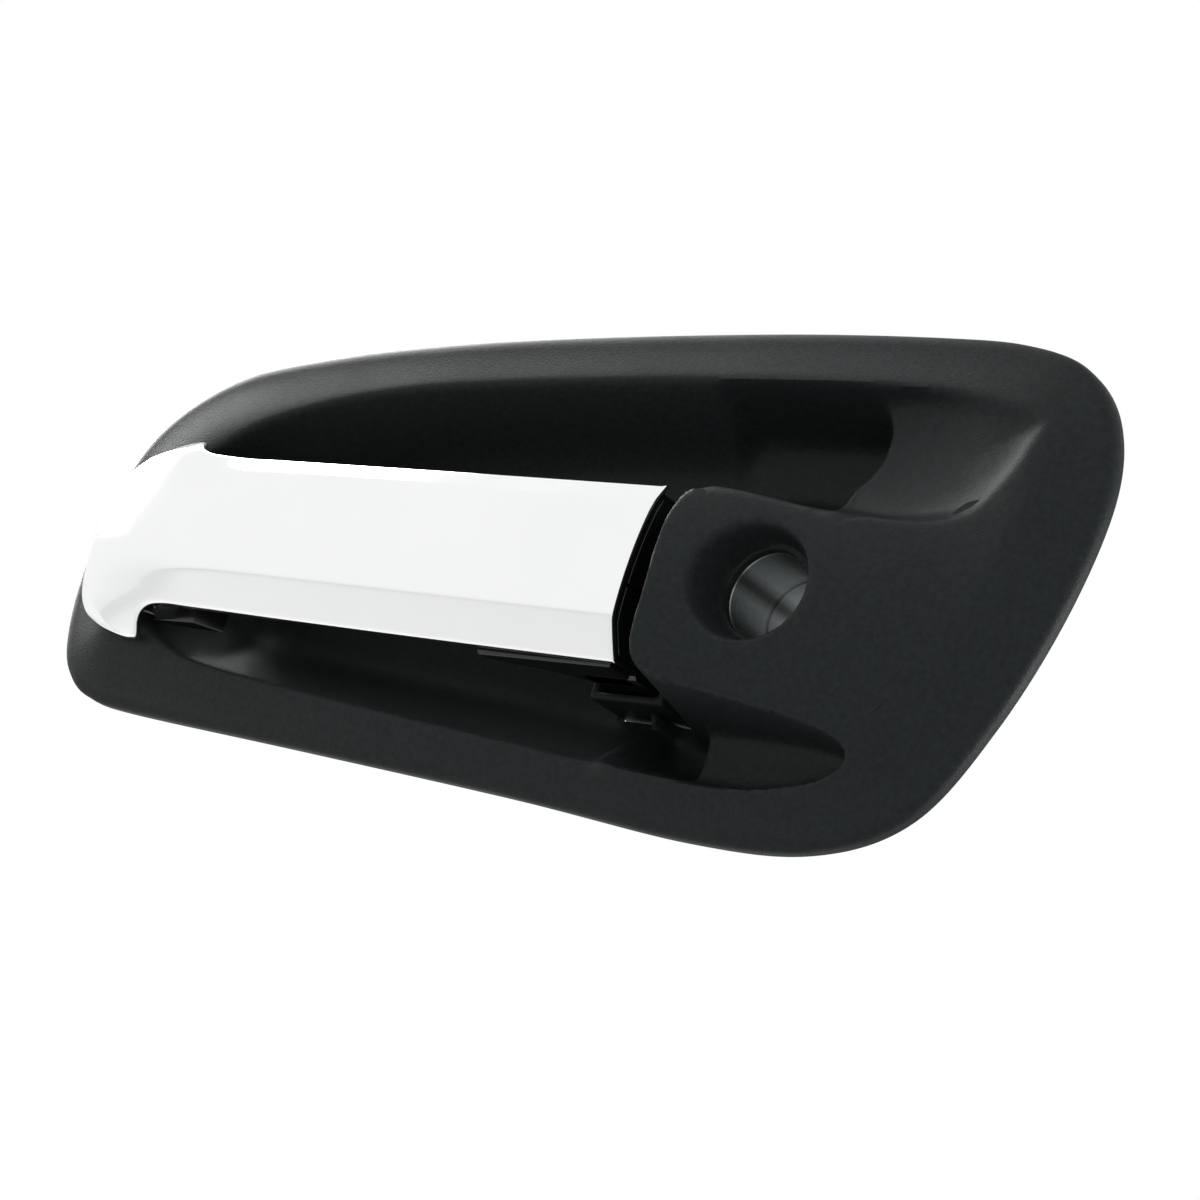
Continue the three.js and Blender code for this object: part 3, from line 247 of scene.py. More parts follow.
# ------------ meshes
def box_mm(node):
    """Low and high corner of a CAD node, in millimetres."""
    return (np.array(corner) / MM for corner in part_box(node))


def make_piece(name, points, faces, look, body, replaced=()):
    """Smooth-shaded object from points in millimetres and arrays of faces; unused points are dropped."""
    used = np.unique(np.concatenate([f.ravel() for f in faces]))
    renumber = np.zeros(len(points), np.int64)
    renumber[used] = np.arange(len(used))
    points = np.asarray(points, np.float64)[used] * MM
    loops = np.concatenate([renumber[f].ravel() for f in faces])
    sizes = np.concatenate([np.full(len(f), f.shape[1]) for f in faces])
    mesh = bpy.data.meshes.new(name)
    mesh.vertices.add(len(points))
    mesh.vertices.foreach_set("co", points.ravel())
    mesh.loops.add(len(loops))
    mesh.loops.foreach_set("vertex_index", loops.astype(np.int32))
    mesh.polygons.add(len(sizes))
    starts = np.concatenate([[0], np.cumsum(sizes)[:-1]])
    mesh.polygons.foreach_set("loop_start", starts.astype(np.int32))
    mesh.polygons.foreach_set("use_smooth", np.ones(len(sizes), bool))
    mesh.update(calc_edges=True)
    if mesh.validate(verbose=False):
        raise RuntimeError(name + " has faces that Blender had to mend")
    mesh.materials.append(MATERIALS[look])
    piece = bpy.data.objects.new(name, mesh)
    bpy.context.scene.collection.objects.link(piece)
    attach(piece, body)
    if replaced:
        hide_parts(*replaced)
    return piece


def sharpen(piece, degrees):
    """Edges that turn by more than the angle stay crisp under smooth shading."""
    piece.data.set_sharp_from_angle(angle=math.radians(degrees))
    return piece


def shell_faces(rows, columns, keep):
    """Faces of a closed shell. The front has rows x columns points; the back has every second one of them,
    numbered after the front. keep says which back cells exist, and a wall closes every edge that is left."""
    front = np.arange(rows * columns).reshape(rows, columns)
    half = rows // 2 + 1, columns // 2 + 1
    back = rows * columns + np.arange(half[0] * half[1]).reshape(half)
    fine = np.repeat(np.repeat(keep, 2, 0), 2, 1)
    quads = np.stack([front[:-1, :-1], front[:-1, 1:], front[1:, 1:], front[1:, :-1]], -1)[fine]
    rear = np.stack([back[:-1, :-1], back[1:, :-1], back[1:, 1:], back[:-1, 1:]], -1)[keep]
    padded = np.pad(keep, 1)
    here = padded[1:-1, 1:-1]
    upright = [front[0:-2:2], front[1:-1:2], front[2::2]]
    level = [front[:, 0:-2:2], front[:, 1:-1:2], front[:, 2::2]]
    left = [*(line[:, 0:-1:2] for line in upright), back[1:, :-1], back[:-1, :-1]]
    right = [*(line[:, 2::2] for line in reversed(upright)), back[:-1, 1:], back[1:, 1:]]
    low = [*(line[0:-1:2] for line in reversed(level)), back[:-1, :-1], back[:-1, 1:]]
    high = [*(line[2::2] for line in level), back[1:, 1:], back[1:, :-1]]
    walls = []
    for side, beyond in ((left, padded[1:-1, :-2]), (right, padded[1:-1, 2:]), (low, padded[:-2, 1:-1]),
                         (high, padded[2:, 1:-1])):
        walls.append(np.stack(side, -1)[here & ~beyond])
    return [quads, rear, np.concatenate(walls)]


def shell_points(plan, front_y, back_y):
    """Front points from the plan and front_y, then back points at every second row and column."""
    x, z = plan
    xb, zb = x[::2, ::2], z[::2, ::2]
    front = np.stack([x, front_y(x, z), z], -1).reshape(-1, 3)
    back = np.stack([xb, back_y(xb, zb), zb], -1).reshape(-1, 3)
    return np.vstack([front, back])


def ring_faces(rings, around):
    """Quads between rings of points that each close on themselves, first ring to last."""
    index = np.arange(rings * around).reshape(rings, around)
    turn = np.roll(index, -1, 1)
    return np.stack([index[:-1], turn[:-1], turn[1:], index[1:]], -1).reshape(-1, 4)


def closing_faces(rings, segments):
    """Quads that join the last ring of points back to the first."""
    index = np.arange(segments)
    turned = np.roll(index, -1)
    last = (rings - 1) * segments
    return np.stack([last + index, last + turned, turned, index], -1)


AXIS_FRAMES = {"X": (1, 2, 0), "Y": (2, 0, 1), "Z": (0, 1, 2)}
EDGE_STEPS = 4  # steps in the quarter circle along a plate's edge


def lathe(profile, axis, origin, segments):
    """Surface of revolution: the profile of (radius, height) carried round the axis by cos and sin of the
    turn. A profile that starts and ends on the axis is closed by a fan at each pole; any other profile
    closes on itself."""
    profile = np.array(profile, float)
    poles = profile[0, 0] == 0 and profile[-1, 0] == 0
    rings = profile[1:-1] if poles else profile
    turn = np.arange(segments) * 2 * np.pi / segments
    local = np.zeros((len(rings), segments, 3))
    first, second, third = AXIS_FRAMES[axis]
    local[..., first] = rings[:, :1] * np.cos(turn)
    local[..., second] = rings[:, :1] * np.sin(turn)
    local[..., third] = rings[:, 1:]
    points = local.reshape(-1, 3)
    faces = [ring_faces(len(rings), segments)]
    if poles:
        ends = np.zeros((2, 3))
        ends[:, third] = profile[[0, -1], 1]
        base = len(points)
        points = np.vstack([points, ends])
        index = np.arange(segments)
        turned = np.roll(index, -1)
        last = (len(rings) - 1) * segments
        faces.append(np.stack([turned, index, np.full(segments, base)], -1))
        faces.append(np.stack([last + index, last + turned, np.full(segments, base + 1)], -1))
    else:
        faces.append(closing_faces(len(rings), segments))
    return points + np.array(origin, float), faces


def loop_offset(loop, distance):
    """Anticlockwise closed loop with each point moved inwards along the mean normal of its two edges."""
    before, after = np.roll(loop, 1, 0), np.roll(loop, -1, 0)
    normals = []
    for run in (loop - before, after - loop):
        run = run / np.maximum(np.linalg.norm(run, axis=1, keepdims=True), 1e-9)
        normals.append(np.stack([-run[:, 1], run[:, 0]], 1))
    mean = normals[0] + normals[1]
    mean = mean / np.maximum((mean * normals[0]).sum(1, keepdims=True), 0.35)
    return loop + mean * distance


def rounded_plate(outline, low, high, radius, axis):
    """Plate with rounded edges: the outline is carried through rings that follow a quarter circle inwards
    and up at each end, and each end is closed by one flat face."""
    loop = np.array(outline, float)
    area = (loop[:, 0] * np.roll(loop[:, 1], -1) - np.roll(loop[:, 0], -1) * loop[:, 1]).sum()
    if area < 0:
        loop = loop[::-1]
    turn = np.linspace(0, np.pi / 2, EDGE_STEPS + 1)
    inset = radius * (1 - np.sin(turn))
    height = radius * (1 - np.cos(turn))
    levels = np.concatenate([low + height, high - height[::-1]])
    insets = np.concatenate([inset, inset[::-1]])
    rings = np.stack([loop_offset(loop, d) for d in insets])
    local = np.zeros(rings.shape[:2] + (3,))
    first, second, third = AXIS_FRAMES[axis]
    local[..., first], local[..., second] = rings[..., 0], rings[..., 1]
    local[..., third] = levels[:, None]
    count = len(loop)
    faces = [ring_faces(len(levels), count), np.arange(count)[::-1][None],
             ((len(levels) - 1) * count + np.arange(count))[None]]
    return local.reshape(-1, 3), faces


def tube(path, radius, sides):
    """Round wire: a circle carried along the path in a frame that turns as little as it can, closed flat."""
    path = np.array(path, float)
    tangent = np.gradient(path, axis=0)
    tangent /= np.linalg.norm(tangent, axis=1, keepdims=True)
    normal = np.cross(tangent[0], [0.3, 0.5, 0.8])
    frames = []
    for step in tangent:
        normal = normal - step * np.dot(normal, step)
        normal = normal / np.linalg.norm(normal)
        frames.append((normal, np.cross(step, normal)))
    frames = np.array(frames)
    turn = np.arange(sides) * 2 * np.pi / sides
    ring = frames[:, :1] * np.cos(turn)[None, :, None] + frames[:, 1:] * np.sin(turn)[None, :, None]
    points = (path[:, None] + radius * ring).reshape(-1, 3)
    faces = [ring_faces(len(path), sides), np.arange(sides)[::-1][None],
             ((len(path) - 1) * sides + np.arange(sides))[None]]
    return points, faces


def joined(shapes):
    """Several shapes as one list of points and one list of faces."""
    points, faces, base = [], [], 0
    for shape_points, shape_faces in shapes:
        points.append(shape_points)
        faces.extend(f + base for f in shape_faces)
        base += len(shape_points)
    return np.vstack(points), faces


# ------------ finishes
MATERIALS = {}


class Finish:
    """A material under construction: a Principled shader and short ways to add nodes in front of it."""

    def __init__(self, name, colour, roughness, metallic=0.0):
        self.material = bpy.data.materials.new(name)
        self.material.use_nodes = True
        self.tree = self.material.node_tree
        self.shader = self.tree.nodes["Principled BSDF"]
        self.shader.inputs["Base Color"].default_value = (*colour, 1)
        self.shader.inputs["Roughness"].default_value = roughness
        self.shader.inputs["Metallic"].default_value = metallic
        self.colour = colour
        self.roughness = roughness
        self.coordinates = self.tree.nodes.new("ShaderNodeTexCoord").outputs["Object"]
        MATERIALS[name] = self.material

    def stretched(self, scale):
        """Object coordinates times a scale on each axis."""
        mapping = self.tree.nodes.new("ShaderNodeMapping")
        mapping.inputs["Scale"].default_value = scale
        self.tree.links.new(self.coordinates, mapping.inputs["Vector"])
        return mapping.outputs["Vector"]

    def noise(self, cells_per_m, detail, vector=None, roughness=0.5):
        """Noise between about 0.3 and 0.7, with a number of cells to the metre."""
        node = self.tree.nodes.new("ShaderNodeTexNoise")
        node.inputs["Scale"].default_value = cells_per_m
        node.inputs["Detail"].default_value = detail
        node.inputs["Roughness"].default_value = roughness
        self.tree.links.new(vector or self.coordinates, node.inputs["Vector"])
        return node.outputs["Fac"]

    def cells(self, cells_per_m):
        """Voronoi cells, as distance to the nearest cell wall."""
        node = self.tree.nodes.new("ShaderNodeTexVoronoi")
        node.feature = "DISTANCE_TO_EDGE"
        node.inputs["Scale"].default_value = cells_per_m
        self.tree.links.new(self.coordinates, node.inputs["Vector"])
        return node.outputs["Distance"]

    def remap(self, value, from_low, from_high, to_low, to_high):
        """The value moved from one range to another, held to its ends."""
        node = self.tree.nodes.new("ShaderNodeMapRange")
        names = "From Min", "From Max", "To Min", "To Max"
        for name, number in zip(names, (from_low, from_high, to_low, to_high)):
            node.inputs[name].default_value = number
        self.tree.links.new(value, node.inputs["Value"])
        return node.outputs["Result"]

    def reckon(self, operation, *values):
        """Maths node on sockets and plain numbers."""
        node = self.tree.nodes.new("ShaderNodeMath")
        node.operation = operation
        for place, value in zip(node.inputs, values):
            if isinstance(value, float):
                place.default_value = value
            else:
                self.tree.links.new(value, place)
        return node.outputs["Value"]

    def vary_roughness(self, value, amount):
        """Roughness that swings by the amount either side of its plain value."""
        result = self.remap(value, 0.3, 0.7, self.roughness - amount, self.roughness + amount)
        self.tree.links.new(result, self.shader.inputs["Roughness"])

    def vary_colour(self, value, low, high):
        """Colour times a factor between low and high."""
        node = self.tree.nodes.new("ShaderNodeMix")
        node.data_type = "RGBA"
        node.inputs[6].default_value = (*[c * low for c in self.colour], 1)
        node.inputs[7].default_value = (*[min(1, c * high) for c in self.colour], 1)
        self.tree.links.new(self.remap(value, 0.3, 0.7, 0, 1), node.inputs[0])
        self.tree.links.new(node.outputs[2], self.shader.inputs["Base Color"])

    def bump(self, heights, distance, strength):
        """Bump from a height between 0 and 1 that stands for the distance in metres; calls stack up."""
        node = self.tree.nodes.new("ShaderNodeBump")
        node.inputs["Strength"].default_value = strength
        node.inputs["Distance"].default_value = distance
        self.tree.links.new(heights, node.inputs["Height"])
        below = self.shader.inputs["Normal"].links
        if below:
            self.tree.links.new(below[0].from_socket, node.inputs["Normal"])
        self.tree.links.new(node.outputs["Normal"], self.shader.inputs["Normal"])


def finish_bezel_plastic(settings):
    """Satin charcoal plastic: fine leather-like cells with worn tops, and slow changes of sheen."""
    look = Finish("bezel_plastic", settings.colour, 0.5)
    grain = 1 / (settings.grain_size * MM)
    look.bump(look.remap(look.cells(grain), 0.0, 0.35, 0, 1), 0.00006, 0.55)
    look.bump(look.noise(grain * 2.4, 4.0), 0.00005, 0.5)
    look.vary_roughness(look.noise(38, 3.0), 0.04)
    look.vary_colour(look.noise(grain * 0.7, 5.0), 0.8, 1.3)
    look.shader.inputs["Specular IOR Level"].default_value = 0.13


def finish_gloss_black(settings):
    """Smooth black moulding with faint flow marks."""
    look = Finish("gloss_black", settings.black_colour, 0.2)
    look.vary_roughness(look.noise(180, 4.0), 0.05)
    look.bump(look.noise(420, 2.0), 0.000012, 0.5)
    look.vary_colour(look.noise(60, 3.0), 0.8, 1.25)


def finish_chrome(settings):
    """Mirror plating with a trace of haze and fine wipe marks."""
    look = Finish("chrome", settings.chrome_colour, 0.075, 1.0)
    look.vary_roughness(look.noise(90, 5.0, look.stretched((0.35, 1, 1))), 0.02)
    look.vary_colour(look.noise(25, 2.0), 0.985, 1.01)
    look.bump(look.noise(140, 2.0), 0.000004, 0.5)


def finish_metal(name, colour, roughness, lines=None, cells=900, depth=0.00001):
    """Bare or plated metal with fine grain; lines gives the stretch of drawn or turned marks."""
    look = Finish(name, colour, roughness, 1.0)
    vector = look.stretched(lines) if lines else None
    marks = look.noise(cells, 4.0, vector, 0.65)
    look.vary_roughness(marks, 0.09)
    look.vary_colour(look.noise(cells * 0.3, 4.0, vector, 0.6), 0.72, 1.2)
    look.bump(marks, depth, 0.6)


PAINTED_REFLECTION_TURN = 2.74  # angle of (x, z) at the painted dark reflection band along the lock bore, in radians


def finish_barrel_metal():
    """Turned metal with marks round the bore and a painted dark reflection band along it: the colour falls to a
    quarter where the angle of (x, z) is near that of the band."""
    look = Finish("barrel_metal", (0.25, 0.265, 0.265), 0.3, 1.0)
    marks = look.noise(1500, 4.0, look.stretched((0.02, 1.0, 0.02)), 0.65)
    look.vary_roughness(marks, 0.05)
    look.bump(marks, 0.000012, 0.5)
    split = look.tree.nodes.new("ShaderNodeSeparateXYZ")
    look.tree.links.new(look.coordinates, split.inputs["Vector"])
    turn = look.reckon("ARCTAN2", split.outputs["Z"], split.outputs["X"])
    # painted reflection: a dark band of reflected shade along the bore is painted into the colour by angle
    away = look.reckon("ABSOLUTE", look.reckon("SUBTRACT", turn, PAINTED_REFLECTION_TURN))
    look.vary_colour(look.remap(away, 0.05, 0.3, 0.3, 0.7), 0.25, 1.2)


def finish_soft(name, colour, roughness, cells, depth):
    """Rubber, foam or nylon: matt, with pores or flow marks."""
    look = Finish(name, colour, roughness)
    pores = look.noise(cells, 5.0)
    look.vary_roughness(pores, 0.06)
    look.vary_colour(look.noise(cells * 0.2, 3.0), 0.85, 1.15)
    look.bump(pores, depth, 0.7)


class HANDLE_OT_finishes(bpy.types.Operator):
    """Makes every finish and gives each carried-over node its own"""

    bl_idname = "handle.finishes"
    bl_label = "Make Finishes"

    def execute(self, context):
        bezel, grip = context.scene.handle_bezel, context.scene.handle_grip
        finish_bezel_plastic(bezel)
        finish_gloss_black(grip)
        finish_chrome(grip)
        finish_barrel_metal()
        finish_metal("zinc_steel", (0.60, 0.62, 0.64), 0.34, lines=(0.25, 1.0, 1.0))
        finish_metal("spring_steel", (0.22, 0.23, 0.25), 0.3)
        finish_metal("cast_zinc", (0.42, 0.43, 0.44), 0.52, cells=1600, depth=0.00004)
        finish_soft("foam", (0.010, 0.010, 0.011), 0.92, 2400, 0.00012)
        finish_soft("rubber", (0.008, 0.008, 0.009), 0.8, 900, 0.00002)
        finish_soft("nylon", (0.62, 0.60, 0.52), 0.45, 500, 0.00001)
        for part in frame["record"]["subparts"]:
            node = frame["nodes"][part["node"]]
            for slot in node.material_slots:
                slot.material = MATERIALS[part["material_slot"]]
        return {"FINISHED"}


# ------------ bezel
BEZEL_LOOP, *BEZEL_SIDES = closed_sides([OUTLINE_BOTTOM, OUTLINE_RIGHT, OUTLINE_TOP, OUTLINE_LEFT], 12)
POCKET_LIP = curve(POCKET_KNOTS, True, 10)
BAND = 27  # between heights -BAND and BAND the bezel's rows are level
NO_ROW = 99.0  # height given to rows outside the band, which no window reaches
HINGE_WINDOW = ((-198.8, -181.8), (-17, 9))  # the hinge arm passes the bezel here, in the grid's own x
GUIDE_WINDOW = ((-50.1, -27.6), (-25.4, -4.9))
RIM_BACK, RIM_FRONT, RIM_ROUND, RIM_RISE = -0.5, -2.6, 3.2, 2.0
FLANGE_RISE, FLANGE_RISE_WIDTH = 3.2, 20
RECESS_FLOOR = -9.8
DISH_X, DISH_Z, DISH_R = 1, 41.8, 13.3  # where the deep pocket stops under the dish
TAIL_START_X = -14
TOWER_END = 26.65  # the screw towers stop just short of the chassis plate


def boss_face(x, z):
    """Plane that falls 0.2 per millimetre of x, crowned across z."""
    return -19.4 + 0.2 * x + 1.3 * ((z + 5) / 16) ** 2


def outer_skin(x, z, grow):
    """Rounded rim, crowned flange, and the ramp up to the lock boss: a mix of flange and boss heights."""
    inside = np.maximum(0, inside_distance(BEZEL_LOOP, x, z))
    rounded = np.sqrt(1 - (1 - np.clip(inside / RIM_ROUND, 0, 1)) ** 2)
    flange = RIM_FRONT - RIM_RISE * rounded - FLANGE_RISE * smooth(0, FLANGE_RISE_WIDTH, inside)
    across = smooth(50, 23, z) * smooth(-50, -27, z)
    ramp = across * smooth(0, FLANGE_RISE_WIDTH, inside)
    ends = smooth(BOSS_END_X - 16 + grow, BOSS_END_X - 8 + grow, x)
    return mix(flange, soft_min(flange, boss_face(x, z), 2.0), ramp * ends)


def pocket_floor(x, z, grow, depth):
    """Deep behind the grip; it steps up to the dish along an arc, and to the tail along an upright line."""
    bowl = depth - 3 * ((z - 6) / 40) ** 2
    step = np.where(z > 0, -1 - 0.16 * np.maximum(x - 14, -4), 3 - 0.12 * np.maximum(x - TAIL_START_X, 0))
    past = np.maximum(0, x - DISH_X)
    upper = DISH_R - np.hypot(past, (z - DISH_Z) * np.clip(past / 8, 0, 1))
    deep = grow + np.where(z > 0, upper, TAIL_START_X - x)
    return step + wall_drop(deep, bowl - step, 3.5, 2.4, 4)


def lip_slope(x, z):
    """Fall per millimetre in from the pocket's lip: 1.9 behind the grip, steeper from the lock boss on and
    most of all on the boss's end wall and in the tail, and 1.3 where the dish runs out."""
    end_wall = smooth(BOSS_END_X + 3, BOSS_END_X - 2, x) * smooth(27, 20, np.abs(z + 2.5))
    at_boss = smooth(12, 4, BOSS_END_X - x)
    slope = 1.9 + at_boss * (1.5 + 3.6 * end_wall + 2 * smooth(-18, -24, z))
    return mix(slope, 1.3, smooth(20, 45, x) * smooth(8, 20, z))


def bezel_surface(x, z, grow, bezel):
    """Outer skin plus the fall into the pocket and into the lock recess; with grow it is the inner face."""
    skin = outer_skin(x, z, grow)
    inside = inside_distance(POCKET_LIP, x, z) + grow
    floor = pocket_floor(x, z, grow, bezel.pocket_depth)
    pocket = wall_drop(inside, np.maximum(0.5, floor - skin), lip_slope(x, z), 1.4, 6)
    mouth = bezel.recess_radius + grow - np.hypot(x, z)
    recess = wall_drop(mouth, RECESS_FLOOR - skin, 4.4, 1.9, 1.2)
    return skin + pocket + np.maximum(0, recess) + (bezel.wall if grow > 0 else 0)


def bezel_grid(bezel):
    """Plan grid of the bezel. Rows are level between -BAND and BAND, so that the windows are straight, and
    near the lock each square ring of points is drawn in to a circle: a point at (x, z) goes to
    (x, z) max(|x|, |z|) / hypot(x, z)."""
    bore = bezel.bore_radius
    xs = spread(CORNER_LEFT, [(-204, 6), (-198.8, 10), (-181.8, 18), (-160, 14), (-60, 58), (-50.1, 8),
                              (-27.6, 30), (-18, 30), (-bore, 14), (bore, 36), (19, 14), (24, 6), (36, 20),
                              (43, 16), (CORNER_RIGHT, 12)])
    low = spread(0, [(0.05, 6), (0.16, 6), (1, 46)])
    middle = spread(-BAND, [(-25.4, 4), (-17, 12), (-bore, 10), (-4.9, 8), (9, 18), (bore, 4), (BAND, 26)])
    high = spread(0, [(0.8, 42), (0.95, 10), (1, 6)])

    def heights(bottom, top):
        lower = bottom + (-BAND - bottom) * low[:, None]
        level = np.broadcast_to(middle[1:-1, None], (len(middle) - 2, len(xs)))
        upper = BAND + (top - BAND) * high[:, None]
        return np.vstack([lower, level, upper])

    x, z = bulged_grid(BEZEL_SIDES, xs, heights)
    square = np.maximum(np.abs(x), np.abs(z))
    pull = mix(square / np.maximum(np.hypot(x, z), 1e-6), 1, smooth(18.5, 22.5, square))
    rows = np.concatenate([np.full(len(low), -NO_ROW), middle[1:-1], np.full(len(high), NO_ROW)])
    rows[len(low) - 1], rows[len(low) + len(middle) - 2] = -BAND, BAND
    return xs, rows, x * pull, z * pull


def window_mask(xs, rows, window):
    """Back cells whose centre lies in a window given as ((low x, high x), (low z, high z))."""
    (x0, x1), (z0, z1) = window
    cx, cz = xs[1::2], rows[1::2]
    return ((cz > z0) & (cz < z1))[:, None] & ((cx > x0) & (cx < x1))[None]


class HANDLE_OT_bezel(bpy.types.Operator):
    """Builds the moulded bezel with its pocket, dish, lock boss and windows"""

    bl_idname = "handle.bezel"
    bl_label = "Bezel"

    def execute(self, context):
        bezel = context.scene.handle_bezel
        xs, rows, x, z = bezel_grid(bezel)
        bore = bezel.bore_radius
        keep = np.ones((len(rows) // 2, len(xs) // 2), bool)
        for window in (HINGE_WINDOW, GUIDE_WINDOW, ((-bore, bore), (-bore, bore))):
            keep &= ~window_mask(xs, rows, window)
        rim = np.zeros(x[::2, ::2].shape, bool)
        rim[[0, -1]], rim[:, [0, -1]] = True, True

        def front(px, pz):
            return bezel_surface(px, pz, 0, bezel)

        def back(px, pz):
            inner = np.maximum(front(px, pz) + 1.2, bezel_surface(px, pz, bezel.wall, bezel))
            return np.where(rim, RIM_BACK, inner)

        points = shell_points((x, z), front, back)
        faces = shell_faces(*x.shape, keep)
        piece = make_piece("bezel_shell", points, faces, "bezel_plastic", ROOT, ("bezel",))
        sharpen(piece, 40)
        return {"FINISHED"}


class HANDLE_OT_bezel_bosses(bpy.types.Operator):
    """Builds the screw towers and the stud bosses behind the bezel"""

    bl_idname = "handle.bezel_bosses"
    bl_label = "Bezel Bosses"

    def execute(self, context):
        shapes = []
        for name, node in frame["nodes"].items():
            low, high = box_mm(name)
            middle = (low + high) / 2
            start = float(bezel_surface(middle[:1], middle[2:], 0, context.scene.handle_bezel)[0]) + 1.6
            if name.startswith("chassis_screw"):
                profile = [(2.35, low[1] - 0.4), (5.2, low[1] - 0.6), (4.6, low[1] + 3),
                           (4.4, TOWER_END - 0.4), (4.0, TOWER_END), (2.7, TOWER_END),
                           (2.35, TOWER_END - 0.4)]
            elif name.startswith("mount_stud"):
                profile = [(3.35, start), (7.2, start), (6.6, start + 1.2), (6.5, -0.75), (6.1, -0.35),
                           (3.7, -0.35), (3.35, -0.7)]
            else:
                continue
            shapes.append(lathe(profile, "Y", (middle[0], 0, middle[2]), 40))
        points, faces = joined(shapes)
        sharpen(make_piece("bezel_bosses", points, faces, "bezel_plastic", ROOT), 35)
        return {"FINISHED"}


# ------------ grip
COVER_SIDES, COVER_LOOP = open_sides([COVER_TOP, COVER_LEFT, COVER_BOTTOM], 12)
SWEEP_BELOW = [(-204, -22.4), (-195.5, -24.8), (-187, -26.2), (-178, -27.4), (-165, -28.4), (-30, -30)]
SWEEP_ABOVE = [(-30, 34), (-165, 33), (-178, 31.6), (-187, 29.7), (-195, 27.7), (-204, 24.4)]
SWEEP_LOOP = curve(SWEEP_BELOW + SWEEP_ABOVE + COVER_LEFT[1:-1], True, 12)  # the flared end, notch left out
COVER_FACE, BAR_HIGH, BAR_LOW = -22.95, 21.9, -21.5
TAPER_LENGTH, FAR_HIGH, FAR_LOW = 140, 23.4, -17.9  # the bar's edges where its taper ends
FLANGE_GAP = 1.5
CORE_INSET = 3.2  # how far the core's edges stand in from the cover's


def bar_face(x, z):
    """Crowned face with a flat facet along its lower edge and a narrow bevel along its top: the highest of
    a parabola and two planes, with soft creases."""
    share = np.clip((GRIP_END_X - x) / TAPER_LENGTH, 0, 1)
    low, high = mix(BAR_LOW, FAR_LOW, share), mix(BAR_HIGH, FAR_HIGH, share)
    across = mix(BAR_LOW, BAR_HIGH, (z - low) / (high - low))
    crown = COVER_FACE + 3.6 * ((across + 7) / 26) ** 2
    facet = -22.8 + 0.59 * (-12.5 - across)
    bevel = -19.8 + 0.6 * (across - 17.2)
    return soft_max(soft_max(crown, facet, 0.4), bevel, 0.3)


def nose_fall(x):
    """Fall of the whole face towards the hinge end, as the 2.2 power of the way past x = -148."""
    return 13 * (np.maximum(0, -148 - x) / 69) ** 2.2


def fan_face(x, z, cover_wall):
    """Flared hinge end: the face, or a steep fall from an edge that stands just over the flange."""
    rest = outer_skin(x, z, 0) - cover_wall - FLANGE_GAP
    inside = np.maximum(0, inside_distance(SWEEP_LOOP, x, z))
    face = COVER_FACE + 3.2 * ((z - 2) / 28) ** 2 + nose_fall(x)
    steep = mix(0.75, 1.15, smooth(-14, 6, z))
    soft = mix(5, 0.8, smooth(-14, 6, z))
    return np.minimum(soft_max(face, rest - steep * inside - soft * 0.2, soft), rest)


def cover_surface(x, z, cover_wall):
    """The bar's face, blended into the flared end between x = -158 and -186."""
    return mix(bar_face(x, z) + nose_fall(x), fan_face(x, z, cover_wall), smooth(-158, -186, x))


class HANDLE_OT_grip_cover(bpy.types.Operator):
    """Builds the plated cover of the grip with its facet, bevel and flared end"""

    bl_idname = "handle.grip_cover"
    bl_label = "Grip Cover"

    def execute(self, context):
        grip = context.scene.handle_grip
        xs = spread(COVER_NOSE_X, [(-203, 8), (-196, 18), (-176, 60), (-150, 40), (-34, 60), (-31.5, 6),
                                   (GRIP_END_X, 12)])
        vs = spread(0, [(0.03, 12), (0.2, 26), (0.32, 14), (0.78, 26), (0.9, 22), (0.97, 8), (1, 12)])
        x, z = bulged_grid(COVER_SIDES, xs, lambda low, high: low + (high - low) * vs[:, None])
        radius = grip.edge_round

        def front(px, pz):
            gap = np.clip(inside_distance(COVER_LOOP, px, pz), 0, radius)
            edge = radius - np.sqrt(radius**2 - (radius - gap) ** 2)
            return cover_surface(px, pz, grip.cover_wall) + edge

        def back(px, pz):
            return cover_surface(px, pz, grip.cover_wall) + grip.cover_wall

        keep = np.ones((len(vs) // 2, len(xs) // 2), bool)
        points = shell_points((x, z), front, back)
        make_piece("grip_cover_shell", points, shell_faces(*x.shape, keep), "chrome", GRIP, ("grip_cover",))
        return {"FINISHED"}


